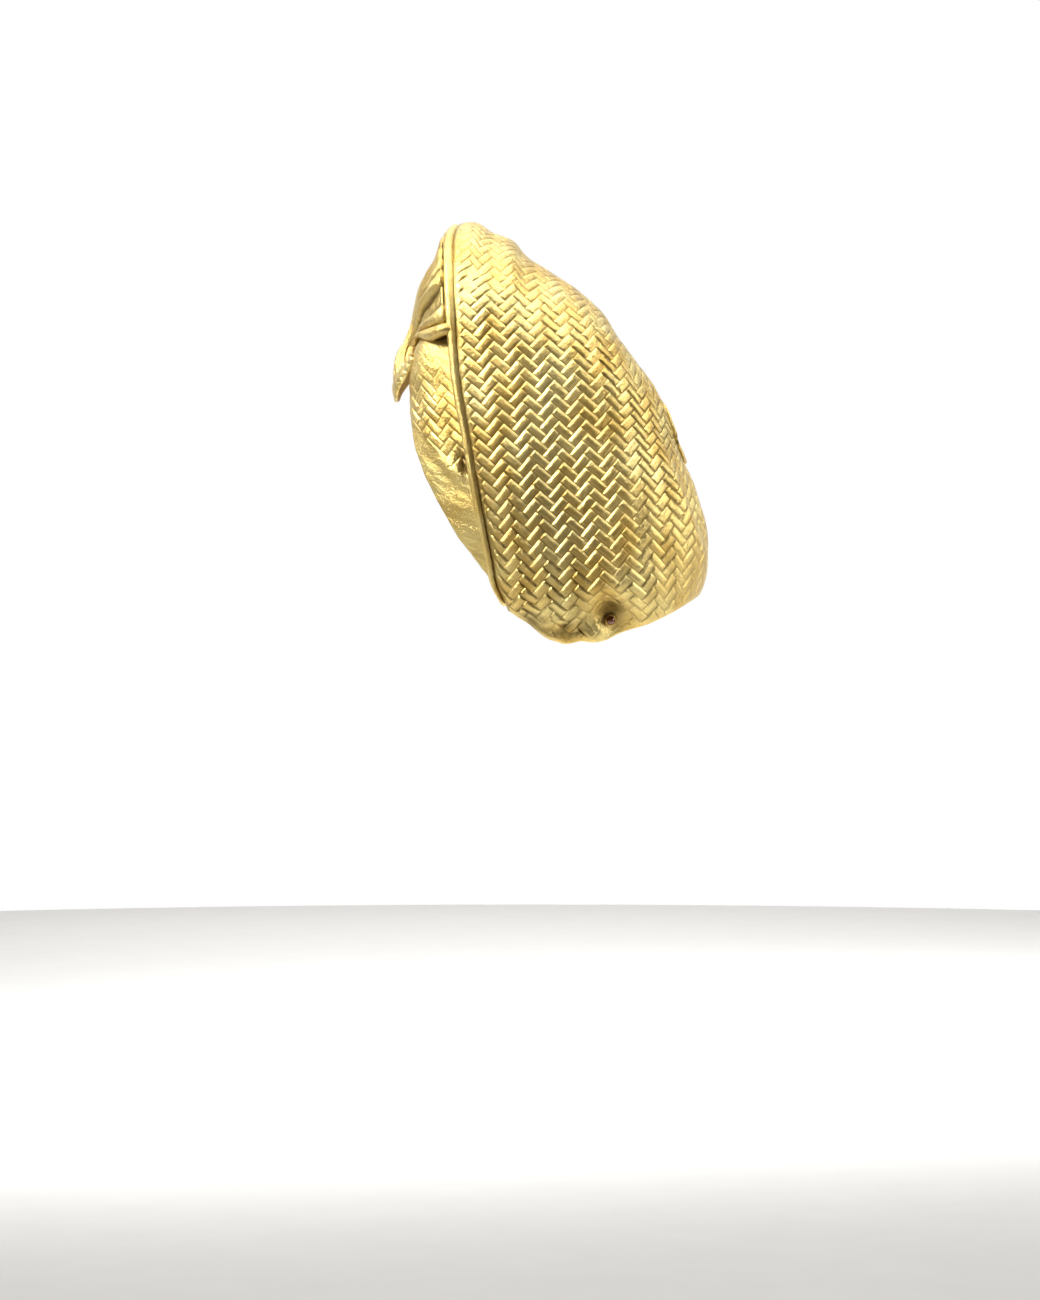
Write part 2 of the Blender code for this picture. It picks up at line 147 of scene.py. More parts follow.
# Button and its place, with its dome, its shank and the ring round it
BUTTON_Y = 43.5
BUTTON_Z = -188.0
BUTTON_LIFT = 0.9
BUTTON_SIDES = 40
DOME_RADIUS = 2.85
DOME_FOOT = 1.1
DOME_HEIGHT = 2.0
SHANK = [(2.75, 0.9), (1.0, 0.6), (0.9, -1.2), (0.05, -1.3)]
RING_RADIUS = 3.15
RING_LIFT = 1.05
RING_HALF_WIDTH = 0.55
RING_HALF_HEIGHT = 0.5

# Herringbone: bars twice as long as wide, stitched into the cloth with grooves between them
BAR_WIDTH = 6.2
QUILT_HEIGHT = 0.55
QUILT_ROUNDNESS = 2.2
SIDE_RISE = 0.34
END_RISE = 0.2

# Upright middle line of the herringbone seen from the side: its place at the crown and its lean
QUILT_MIDDLE = 4.0
QUILT_LEAN = 0.12

# Where the hood's quilting is calmer: at its edges, round the button, low at the back and at the top
EDGE_PLAIN = (0.0, 4.0)
BUTTON_PLAIN = (8.0, 24.0)
BUTTON_CALM = 0.92
LOW_BACK_Y = (50.0, 95.0)
LOW_BACK_Z = (-145.0, -95.0)
LOW_BACK_CALM = 0.45
TOP_Z = (-60.0, 30.0)
TOP_CALM = 0.42

# Places of the hood seen from the side, each with its half sizes and its tilt in degrees
FRONT_HEM = (2.0, -198.0, 20.0, 11.0, 0.0)
FRONT_HEM_CALM = 0.85
# A patch of painted shade, standing in for a dark reflection, darkens the middle of the side and fades out
# towards the middle plane
PAINTED_PATCH = (0.0, -125.0, 68.0, 32.0, 122.0)
PAINTED_PATCH_SHADE = 0.40
PAINTED_PATCH_X = 60.0

# Puckers in rings round the button, strongest on one side of it, with painted shade in the hollow above it
# and along the groove at the rim
PUCKER_SPACING = 3.2
PUCKER_HEIGHT = 0.48
PUCKER_RING = 10.0
PUCKER_REACH = 6.0
PUCKER_HEADING = 165.0
HOLLOW_Y = BUTTON_Y + 4.0
HOLLOW_Z = BUTTON_Z + 3.5
HOLLOW_HALF_SIZES = (9.0, 7.5)
HOLLOW_SHADE = 0.72
RIM_SHADE = 0.60
RIM_SHADE_WIDTH = 0.9

# Narrow dents get painted shade for each millimetre of depth, and every dent dies away towards the middle
NARROW_DENT = 3.0
HOOD_DENT_SHADE = 0.34
BAND_DENT_SHADE = 0.40
DENT_X = 30.0

# Mesh sizes, each a multiple of the inner side's stride
STRIDE = 3
ROWS_ABOVE = 96
ROWS_BELOW = 120
HOOD_COLUMNS = 162
DRAPE_COLUMNS = 165
ROLL_COLUMNS = 27
DRAPE_ROWS = 132
BAND_ROWS = 150
BAND_COLUMNS = 48

# Other mesh sizes, and the points that a line or a level is measured with
PIPING_RINGS = 420
PIPING_SIDES = 36
EDGE_STEPS = 4
HOOD_FINE = 481
RIM_FINE = 401
LEVELS = 160


def table(columns, *rows):
    """Named columns of numbers, one row for each section."""
    values = np.array(rows, float)
    return {name: values[:, i] for i, name in enumerate(columns.split())}


# Unevenness of each cloth: height and size of its waves, their seed, and their stretch down the cloth.
# The piping's height is a share of its radius, and its waves go round it.
HOOD_WAVES = ((0.30, 17, 3, 1), (0.10, 6, 5, 1))
PIPING_WAVES = ((0.012, 5, 7, 3),)
DRAPE_WAVES = ((0.22, 4, 11, 0.35), (0.12, 9, 13, 1))
BAND_WAVES = ((0.25, 11, 17, 1), (0.12, 4, 19, 1))

# Height at which the herringbone's rows are level, seen from the side
QUILT_ROW = table("y z", (-60.0, -93.0), (0.0, -90.0), (60.0, -86.0), (110.0, -90.0))

# Strength of the band's quilting against the drop below the origin
BAND_QUILTING = table("drop strength", (30.0, 0.15), (60.0, 0.62), (110.0, 0.40))

# Front rim seen from the side, from the peak down to the jaw
RIM = table(
    "y z",
    (-50.5, 69.0), (-53.8, 60.0), (-54.4, 39.0), (-53.9, 15.0), (-52.4, -8.0), (-49.7, -40.0),
    (-44.2, -73.0), (-38.0, -109.0), (-33.8, -130.0), (-29.6, -151.0), (-26.6, -168.0),
    (-20.5, -181.0),
)

# Top ridge on the middle plane, from the peak back to the crown opening
RIDGE = table(
    "y z",
    (-50.5, 69.0), (-41.0, 69.4), (-31.0, 63.4), (-16.5, 56.8), (-9.5, 48.6), (5.2, 38.9),
    (26.0, 24.1), (37.5, 14.2), (47.0, 0.0), (56.8, -14.0), (65.0, -25.5),
)

# Back edge: round the crown opening, then down the middle of the back to the hem
BACK = table(
    "y z",
    (65.0, -25.5), (75.0, -42.2), (81.9, -58.1), (86.6, -73.5), (93.2, -87.3), (102.2, -108.6),
    (108.2, -130.7), (108.8, -146.0), (106.8, -162.0), (104.0, -171.0),
)

# Hem seen from the side, from the jaw back to the middle of the back
HEM = table(
    "y z",
    (-20.5, -181.0), (-10.0, -188.5), (3.3, -197.6), (16.3, -202.6), (28.0, -200.6), (38.0, -201.8),
    (47.5, -199.0), (57.0, -194.8), (66.0, -191.6), (86.0, -182.4), (104.0, -171.0),
)

# Half width of the hood against the share of its height, from the ridge (0) to the hem (1)
WIDTH = table(
    "share rim middle back",
    (0.00, 73.5, 82.0, 79.0),
    (0.30, 75.0, 86.0, 82.0),
    (0.50, 77.0, 90.0, 86.0),
    (0.70, 75.5, 90.0, 88.0),
    (0.85, 69.5, 83.0, 84.0),
    (1.00, 58.0, 63.0, 67.0),
)

# Dents (positive depth) and bulges of the side, seen from the side: place, reach and tilt in degrees
DENTS = table(
    "y z depth along across tilt",
    (BUTTON_Y + 1.0, BUTTON_Z + 1.0, 8.6, 13.0, 12.5, 0.0),
    (42.0, -169.0, -1.6, 17.0, 6.0, 8.0),
    (36.0, -198.0, -3.0, 9.0, 6.0, 20.0),
    (20.0, -105.0, 4.0, 52.0, 26.0, 97.0),
    (91.0, -118.0, -3.2, 32.0, 5.0, 112.0),
    (76.0, -150.0, 2.4, 26.0, 11.0, 128.0),
    (2.0, -184.0, 2.6, 14.0, 5.0, 150.0),
    (-11.0, -176.0, -1.6, 12.0, 5.0, 130.0),
    (98.5, -119.0, 2.3, 26.0, 3.3, 112.0),
    (12.0, -190.0, -1.1, 9.0, 3.0, 172.0),
    (8.0, -196.0, 1.1, 9.0, 2.4, 168.0),
    (-6.0, -189.5, 2.2, 8.0, 2.9, 145.0),
    (16.5, -192.5, 2.4, 5.5, 2.9, 32.0),
    (0.0, -195.5, -0.9, 9.0, 1.9, 146.0),
    (6.0, -186.0, -0.8, 10.0, 2.2, 152.0),
    (-2.0, -186.5, 1.1, 8.0, 1.9, 150.0),
    (10.0, -200.0, -1.0, 8.0, 2.0, 158.0),
    (22.0, -197.0, 1.2, 7.0, 2.2, 20.0),
    (27.0, -191.0, 1.0, 8.0, 2.2, 60.0),
    (24.0, -186.0, -1.0, 10.0, 3.2, 38.0),
    (60.0, -176.0, -1.6, 16.0, 8.0, 20.0),
    (-4.0, 50.0, 1.6, 22.0, 7.0, 140.0),
    (24.0, 6.0, -1.0, 28.0, 9.0, 130.0),
    (-26.0, 20.0, 0.9, 26.0, 7.0, 105.0),
)

# Slanting fold that ends the band's quilting below the temple
FOLD_Y = -57.5
FOLD_Z = -91.5
FOLD_TILT = 133.0

# Dents and bulges of the band below the temple: the gap beside the piping, and the slanting fold
BAND_DENTS = table(
    "y z depth along across tilt",
    (-49.0, -90.0, 2.6, 9.5, 2.3, 103.0),
    (FOLD_Y, FOLD_Z, -1.5, 14.0, 3.0, FOLD_TILT),
)

# Drape's top edge against the piping: tucked behind and under it, then out in front of it
TUCK = table(
    "share forward outward",
    (0.00, -7.0, -4.7), (0.05, -1.0, -4.9), (0.10, 3.7, -3.7), (0.16, 4.9, -1.4),
)

# Drape on the middle plane, from the front of the piping over the pinch to the forehead
FRONT = table(
    "y z",
    (-56.5, 61.0), (-57.5, 53.5), (-60.5, 46.0), (-67.0, 38.5), (-75.5, 26.0), (-79.0, 14.0),
    (-81.0, 4.0), (-85.0, -6.5), (-90.5, -16.0), (-94.0, -29.0), (-94.0, -45.0),
)

# Side edge of the drape: from the rim in to the pinch, then down over the temple band
ROLL = table(
    "x y z",
    (72.5, -62.0, -3.0), (65.0, -66.0, -4.0), (55.5, -70.0, -4.6), (45.5, -73.3, -5.0),
    (36.0, -76.0, -6.0), (28.0, -78.0, -8.0), (23.5, -79.0, -11.0), (23.5, -79.8, -14.0),
    (27.5, -80.4, -16.5), (33.0, -80.8, -17.8), (38.0, -80.8, -18.0),
)

# Lower edge of the drape over the forehead, from the middle to the side
BROW = table(
    "x y z",
    (0.0, -94.0, -45.0), (12.0, -93.4, -43.5), (22.0, -92.0, -38.5), (30.0, -87.5, -31.0),
    (35.5, -83.5, -24.0), (38.0, -80.8, -18.0),
)

# Folds of the drape from the middle (0) to the side roll (1), with crests that rise forwards
FOLDS = table(
    "place height half_width",
    (0.00, 2.6, 0.100), (0.20, 3.0, 0.090), (0.38, 2.8, 0.080), (0.52, 3.2, 0.050),
    (0.615, 4.4, 0.044), (0.715, 6.0, 0.056), (0.825, 1.2, 0.054), (0.935, 4.6, 0.054),
)

# Roll along the side edge of the drape, from the piping to the brow: radius, and how far it hangs down
SIDE_ROLL = table(
    "share radius drop",
    (0.00, 3.2, 1.0), (0.10, 3.9, 5.6), (0.18, 4.1, 7.0), (0.34, 4.3, 7.6), (0.54, 3.7, 6.2),
    (0.68, 2.7, 3.6), (0.80, 2.1, 0.8), (0.92, 1.7, 0.0), (1.00, 0.9, 0.0),
)

# Temple band: outer face at its front edge and at its hidden back edge, from the middle to the jaw
BAND = table(
    "front_x front_y front_z back_x back_y back_z",
    (0.0, -75.0, -2.5, 0.0, -46.0, 3.0),
    (12.0, -76.0, -6.0, 24.0, -47.0, 4.0),
    (20.0, -79.0, -15.5, 47.0, -48.0, 4.0),
    (25.5, -83.5, -30.0, 62.0, -48.0, -3.0),
    (31.0, -84.0, -43.0, 68.0, -46.0, -24.0),
    (36.5, -83.0, -57.0, 70.5, -43.0, -44.0),
    (42.0, -80.8, -73.0, 71.5, -39.0, -65.0),
    (47.0, -76.0, -89.0, 71.5, -34.5, -86.0),
    (51.5, -69.6, -104.0, 70.5, -30.0, -106.0),
    (55.0, -62.0, -118.0, 68.5, -25.5, -124.0),
    (57.0, -54.6, -130.7, 66.0, -21.0, -140.0),
    (57.5, -46.0, -142.5, 63.0, -16.5, -154.0),
    (57.0, -38.0, -153.0, 60.0, -12.0, -165.0),
    (55.0, -29.6, -164.5, 57.0, -7.0, -175.0),
    (52.0, -19.5, -177.5, 53.5, -1.5, -186.0),
)


def smooth(knots, values, at):
    """Cubic curve through the knots, with each knot's slope taken from its two neighbours."""
    slopes = np.gradient(values, knots)
    i = np.clip(np.searchsorted(knots, at, side="right") - 1, 0, len(knots) - 2)
    step = knots[i + 1] - knots[i]
    s = (at - knots[i]) / step
    low = (1 + 2 * s) * (1 - s) ** 2 * values[i] + s * (1 - s) ** 2 * step * slopes[i]
    high = s * s * (3 - 2 * s) * values[i + 1] + s * s * (s - 1) * step * slopes[i + 1]
    return low + high


def lengths_along(points):
    """Running length along a line of points, from 0."""
    steps = np.linalg.norm(np.diff(points, axis=0), axis=-1)
    return np.concatenate([np.zeros_like(steps[:1]), np.cumsum(steps, axis=0)])


def curve(rows, columns, share):
    """Points at the given shares of the length of the smooth line through a table's rows."""
    points = np.stack([rows[c] for c in columns.split()], axis=-1)
    knots = lengths_along(points)
    at = np.asarray(share) * knots[-1]
    return np.stack([smooth(knots, points[:, i], at) for i in range(points.shape[1])], axis=-1)


def evenly(points, shares):
    """A line of points laid out again at the given shares of its length."""
    run = lengths_along(points)
    at = np.asarray(shares) * run[-1]
    return np.stack([np.interp(at, run, points[:, i]) for i in range(3)], axis=-1)


def superellipse(share, power):
    """Height of a rounded quarter, from 0 at share 0 to 1 at share 1."""
    return (1 - (1 - np.clip(share, 0, 1)) ** power) ** (1 / power)


def fade(value, start, end):
    """Eases from 1 at the start of a range to 0 at its end."""
    share = np.clip((value - start) / (end - start), 0, 1)
    return 1 - share * share * (3 - 2 * share)


def hump(value, middle, reach):
    """A smooth hump of height 1 at its middle, down to about a third at its reach."""
    return np.exp(-(((value - middle) / reach) ** 2))


def unit(vectors):
    return vectors / np.maximum(np.linalg.norm(vectors, axis=-1, keepdims=True), 1e-12)


def line_of(rows):
    """The line seen from the side that a table's rows make."""
    return np.stack([rows["y"], rows["z"]], axis=-1)


def side_view(h, v):
    """The hood seen from the side: a patch stretched between its rim, back edge, ridge and hem."""
    rim, back = curve(RIM, "y z", h), curve(BACK, "y z", h)
    ridge, hem = curve(RIDGE, "y z", v), curve(HEM, "y z", v)
    h, v = h[..., None], v[..., None]
    peak, brow, jaw, heel = (line_of(rows)[i] for i in (0, -1) for rows in (RIM, BACK))
    corners = (1 - h) * ((1 - v) * peak + v * brow) + h * ((1 - v) * jaw + v * heel)
    return (1 - v) * rim + v * back + (1 - h) * ridge + h * hem - corners


def half_width(h, v):
    """Half width of the hood: the side's own width, arched to the ridge and rounded to the back."""
    at_rim, at_middle, at_back = (smooth(WIDTH["share"], WIDTH[c], h) for c in ("rim", "middle", "back"))
    full = at_rim * (1 - v) * (1 - 2 * v) + 4 * at_middle * v * (1 - v) + at_back * v * (2 * v - 1)
    rim_length, back_length = (lengths_along(line_of(rows))[-1] for rows in (RIM, BACK))
    drop = h * ((1 - v) * rim_length + v * back_length)
    depth = (1 - v) * CROWN_DEPTH_RIM + v * CROWN_DEPTH_BACK
    arched = full * superellipse(drop / depth, CROWN_POWER)

    arched_back = at_back * superellipse(h * back_length / CROWN_DEPTH_BACK, CROWN_POWER)
    round_opening = 1 - (2 * h / OPENING_SHARE - 1) ** 2
    opening = OPENING_HALF_WIDTH * np.sqrt(np.clip(round_opening, 0, 1))
    left_open = np.clip(opening / np.maximum(arched_back, 1e-6), 0, 1)
    reach = (1 - left_open**TAIL_POWER) ** (1 / TAIL_POWER)
    return arched * (1 - (v * reach) ** TAIL_POWER) ** (1 / TAIL_POWER)


def normals_of(points):
    """Unit normals outwards of a grid of points, whose rows run down and columns to the left or back."""
    return unit(np.cross(np.gradient(points, axis=0), np.gradient(points, axis=1)))


def bell(points, y, z, along, across, tilt):
    """A bell-shaped bump of height 1 at a place seen from the side, with its half sizes and its tilt."""
    turn = math.radians(tilt)
    dy, dz = points[..., 1] - y, points[..., 2] - z
    u = (dy * math.cos(turn) + dz * math.sin(turn)) / along
    w = (-dy * math.sin(turn) + dz * math.cos(turn)) / across
    return np.exp(-u * u - w * w)


def dent_depth(points, dents, narrow_only=False):
    """How far a side is pushed in by its dents and out by its bulges."""
    push = np.zeros(points.shape[:2])
    for y, z, depth, along, across, tilt in zip(*dents.values()):
        if not narrow_only or (across <= NARROW_DENT and depth > 0):
            push += depth * bell(points, y, z, along, across, tilt)
    return push * np.clip(points[..., 0] / DENT_X, 0, 1)


def surface(h, v):
    """Outer face of the hood before its dents, at shares down it (h) and back from the rim (v)."""
    return np.concatenate([half_width(h, v)[..., None], side_view(h, v)], axis=-1)


def relaxed(points, rounds):
    """A grid of points with small kinks rubbed out, its outline kept."""
    for _ in range(rounds):
        points = points.copy()
        points[1:-1, :] = 0.5 * points[1:-1, :] + 0.25 * (points[:-2, :] + points[2:, :])
        points[:, 1:-1] = 0.5 * points[:, 1:-1] + 0.25 * (points[:, :-2] + points[:, 2:])
    return points


def square(points):
    """Keeps what lies on the middle plane on it, so that the two halves meet."""
    points[np.abs(points[..., 0]) < 1e-6, 0] = 0
    return points


def held_normals(points):
    """Normals of a left half, turned flat where it meets the middle plane."""
    normals = normals_of(points)
    normals[points[..., 0] < 1e-6, 0] = 0
    return unit(normals)


def hood_half():
    """Outer face of the left half of the hood as an even grid of points, before and after its dents."""
    fine = np.linspace(0, 1, HOOD_FINE)
    above = OPENING_SHARE * fine**2
    below = OPENING_SHARE + (1 - OPENING_SHARE) * fine
    lines = []
    for shares, rows in ((above, ROWS_ABOVE), (below, ROWS_BELOW)):
        dense = surface(*np.meshgrid(shares, 1 - (1 - fine) ** 2, indexing="ij"))
        at = np.linspace(0, 1, rows + 1)
        lines.append(np.stack([evenly(dense[:, j], at) for j in range(len(fine))], axis=1))
    at = np.linspace(0, 1, HOOD_COLUMNS + 1)
    plain = np.stack([evenly(line, at) for line in np.concatenate([lines[0], lines[1][1:]])])
    plain = relaxed(plain, HOOD_ROUNDS)
    plain[0, :, 0] = 0
    plain[ROWS_ABOVE:, -1, 0] = 0
    return plain, square(plain - held_normals(plain) * dent_depth(plain, DENTS)[..., None])


def full_turn(steps):
    """Angles of a full turn in equal steps."""
    return np.linspace(0, 2 * math.pi, steps, endpoint=False)


def rim_share(part):
    """Share down the hood at a part of the way round the rim from the peak (0) to the jaw (1)."""
    share = np.linspace(0, 1, RIM_FINE) ** 2
    run = lengths_along(surface(share, np.zeros_like(share)))
    return np.interp(part, run / run[-1], share)


def rim_frame(share):
    """Points on the left front rim, with the unit directions forwards and outwards there."""
    small_back, small_along = 0.02, 1e-3
    h = np.clip(np.asarray(share, float), 0, 1)
    at_rim = np.zeros_like(h)
    edge = surface(h, at_rim)
    forward = unit(edge - surface(h, at_rim + small_back))
    along = surface(np.minimum(h + small_along, 1), at_rim)
    along = unit(along - surface(np.maximum(h - small_along, 0), at_rim))
    return edge, forward, unit(np.cross(forward, along))


def piping_line(part):
    """The left piping's middle line and radius, with the rim's directions forwards and outwards."""
    edge, forward, outward = rim_frame(rim_share(part))
    radius = PIPING_RADIUS + (PIPING_END_RADIUS - PIPING_RADIUS) * part**2
    sink = PIPING_SINK + (PIPING_PEAK_SINK - PIPING_SINK) * fade(part, *PEAK_PARTS)
    gap = JAW_GAP + (GAP - JAW_GAP) * fade(part, *JAW_PARTS)
    centre = edge + forward * (radius + gap)[..., None] - outward * sink[..., None]
    return centre, radius, forward, outward


def quilt_height(u, v):
    """Height of the quilted bars over their grooves, from 0 to 1, at a place on the cloth.

    A lattice of squares lies at 45 degrees, and a bar is two of them. Kinds 0 and 1 are the first and
    second square of a bar along p, and kinds 3 and 2 those of a bar along q. The height is a rounded
    rise from the bar's sides times one from its ends.
    """
    p, q = (u + v) / (BAR_WIDTH * math.sqrt(2)), (v - u) / (BAR_WIDTH * math.sqrt(2))
    kind = np.mod(np.floor(p) - np.floor(q), 4)
    part_p, part_q = p - np.floor(p), q - np.floor(q)
    along = np.where(kind > 1.5, part_q, part_p) + (np.abs(kind - 1.5) < 0.6)
    across = np.where(kind > 1.5, part_p, part_q)
    near_end, near_side = np.minimum(along, 2 - along), np.minimum(across, 1 - across)
    parts = np.clip(near_end / END_RISE, 0, 1), np.clip(near_side / SIDE_RISE, 0, 1)
    return np.prod([1 - (1 - part) ** QUILT_ROUNDNESS for part in parts], axis=0)


def ripple(u, v, seed, size):
    """Smooth unevenness from -1 to 1 with features about size millimetres across: a sum of six waves."""
    highest_sum = 3.5
    turns = np.random.default_rng(seed).uniform(0, 2 * math.pi, (6, 2))
    total = np.zeros(np.broadcast(u, v).shape)
    for heading, phase in turns:
        wave = u * math.cos(heading) + v * math.sin(heading)
        total += np.sin(wave * math.pi / size + phase)
    return total / highest_sum


def uneven(u, v, waves):
    """Unevenness of a cloth: the sum of its ripples."""
    return sum(height * ripple(u, v * stretch, seed, size) for height, size, seed, stretch in waves)


def smooth_mesh(name, points, faces):
    """A smooth-shaded mesh from points in millimetres."""
    made = bpy.data.meshes.new(name)
    made.from_pydata((points.reshape(-1, 3) * MM).tolist(), [], faces)
    made.shade_smooth()
    return made


def lay_flat(mesh, flat):
    """Gives a mesh its UV map: the place of each point on the flat cloth, in metres."""
    corners = np.zeros(len(mesh.loops), np.int32)
    mesh.loops.foreach_get("vertex_index", corners)
    places = mesh.uv_layers.new(name="cloth").data
    places.foreach_set("uv", (flat.reshape(-1, 2)[corners] * MM).ravel())


class Cloth:
    """Points, faces, flat places, quilting and shade of a closed wall, as it is built up."""

    def __init__(self):
        self.points, self.flat, self.quilt, self.shade = [], [], [], []
        self.faces, self.inside = [], []
        self.count = 0

    def add(self, points, flat, quilt, shade=0.0):
        """Adds points of any grid shape, and gives back their numbers in the same shape."""
        shape = points.shape[:-1]
        numbers = np.arange(self.count, self.count + int(np.prod(shape))).reshape(shape)
        self.points.append(points.reshape(-1, 3))
        self.flat.append(flat.reshape(-1, 2))
        self.quilt.append(np.broadcast_to(quilt, shape).ravel())
        self.shade.append(np.broadcast_to(shade, shape).ravel())
        self.count += numbers.size
        return numbers

    def add_faces(self, corners, inside=False):
        """Adds faces from an array of point numbers for each of their corners in turn."""
        faces = np.stack(corners, axis=-1).reshape(-1, len(corners))
        self.faces += faces.tolist()
        self.inside += [inside] * len(faces)

    def skin(self, numbers, inside):
        """Four-cornered faces over a grid of point numbers, turned over on the inner side."""
        ring = [numbers[:-1, :-1], numbers[1:, :-1], numbers[1:, 1:], numbers[:-1, 1:]]
        self.add_faces(ring[::-1] if inside else ring, inside)

    def seam(self, fine, coarse):
        """Faces between a line of point numbers and one with a point for each stride of it."""
        steps = [fine[k : k + len(fine) - STRIDE : STRIDE] for k in range(STRIDE)]
        steps.append(fine[STRIDE::STRIDE])
        self.add_faces([*steps[::-1], coarse[:-1], coarse[1:]])

    def mesh(self, name):
        made = smooth_mesh(name, np.concatenate(self.points), self.faces)
        lay_flat(made, np.concatenate(self.flat))
        for title, values in (("quilting", self.quilt), ("painted_shade", self.shade)):
            made.attributes.new(title, "FLOAT", "POINT")
            made.attributes[title].data.foreach_set("value", np.concatenate(values))
        made.polygons.foreach_set("material_index", np.array(self.inside, np.int32))
        return made


def borders(points):
    """A grid's left, lower, right and upper border as (row, column) pairs, in the order of a way round.

    Each border begins at its corner and stops before the next one, but the last one closes the way.
    """
    last_row, last_column = points.shape[0] - 1, points.shape[1] - 1
    left = [(i, 0) for i in range(last_row)]
    low = [(last_row, j) for j in range(last_column)]
    right = [(i, last_column) for i in range(last_row, 0, -1)]
    return left, low, right, [(0, j) for j in range(last_column, -1, -1)]


def wall(name, outer, inner, flat, quilt, paths, shade):
    """Mesh of a closed wall: a fine outer skin, a coarse inner one, and rounded edges along the paths.

    Each path is a list of (row, column) pairs in the order that borders gives. A path that ends where
    it starts goes all the way round. An edge is a half circle in steps from the outer skin to the inner.
    """
    cloth = Cloth()
    numbers = cloth.add(outer, flat, quilt, shade)
    cloth.skin(numbers, False)
    few = slice(None, None, STRIDE)
    backs = cloth.add(inner[few, few], flat[few, few], 0.0)
    cloth.skin(backs, True)
    down, over = unit(np.gradient(inner, axis=0)), unit(np.gradient(inner, axis=1))
    for path in paths:
        rows, columns = np.array(path).T
        side = 1.0 * (columns == outer.shape[1] - 1) - (columns == 0)
        end = 1.0 * (rows == outer.shape[0] - 1) - (rows == 0)
        away = over[rows, columns] * side[:, None] + down[rows, columns] * end[:, None]
        across = 0.5 * (outer[rows, columns] - inner[rows, columns])
        on_middle = np.abs(outer[rows, columns, 0]) < 1e-6
        away[on_middle, 0] = 0
        across[on_middle, 0] = 0
        away = unit(away) * np.linalg.norm(across, axis=-1, keepdims=True)
        middle = 0.5 * (outer[rows, columns] + inner[rows, columns])
        line = numbers[rows, columns]
        for turn in np.linspace(0, math.pi, EDGE_STEPS + 2)[1:-1]:
            ring = middle + math.cos(turn) * across + math.sin(turn) * away
            following = cloth.add(ring, flat[rows, columns], 0.0, shade[rows, columns])
            cloth.add_faces([line[1:], line[:-1], following[:-1], following[1:]])
            line = following
        cloth.seam(line, backs[rows[few] // STRIDE, columns[few] // STRIDE])
    return cloth.mesh(name)


def tube_faces(rings, sides, closed=False):
    """Faces over rings of points, with a face over each end unless the last ring meets the first."""
    numbers = np.arange(rings * sides).reshape(rings, sides)
    here = numbers if closed else numbers[:-1]
    after = np.roll(numbers, -1, axis=0)[: len(here)]
    faces = np.stack([here, np.roll(here, -1, axis=1), np.roll(after, -1, axis=1), after], axis=-1)
    ends = [] if closed else [numbers[0, ::-1].tolist(), numbers[-1].tolist()]
    return faces.reshape(-1, 4).tolist() + ends


def cloth_places(points):
    """Distance over the cloth from the first column, and down it from the first row."""
    return lengths_along(points.swapaxes(0, 1)).T, lengths_along(points)


def level_places(points, arch_drop):
    """Distance back from the leaning middle line of the quilting, along level lines of the cloth.

    Over the arch of the top, within a drop of the highest row, each column keeps its distance.
    """
    levels = np.linspace(points[..., 2].min(), points[..., 2].max(), LEVELS)
    lines = points.swapaxes(0, 1)
    rows = np.stack(
        [
            np.stack([np.interp(levels, line[::-1, 2], line[::-1, k]) for k in range(3)], axis=-1)
            for line in lines
        ]
    )
    run = lengths_along(rows)
    middle = QUILT_MIDDLE - QUILT_LEAN * levels
    run = run - [np.interp(y, rows[:, i, 1], run[:, i]) for i, y in enumerate(middle)]
    top = points[0, :, 2] - arch_drop
    places = [np.interp(np.minimum(line[:, 2], top[j]), levels, run[j]) for j, line in enumerate(lines)]
    return np.stack(places, axis=1)


def placed(name, data):
    """A new object at the origin of the scene, from its mesh, light or camera."""
    made = bpy.data.objects.new(name, data)
    bpy.context.scene.collection.objects.link(made)
    return made


def finished(mesh, materials, mirrored=False):
    """An object at the origin that rides on the body, with its right half mirrored where it has one."""
    made = placed(mesh.name, mesh)
    for finish in materials:
        mesh.materials.append(finish)
    if mirrored:
        both = made.modifiers.new("right half", "MIRROR")
        both.use_axis = (True, False, False)
        both.use_clip = True
        both.merge_threshold = 1e-6
    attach(made, "root")
    return made


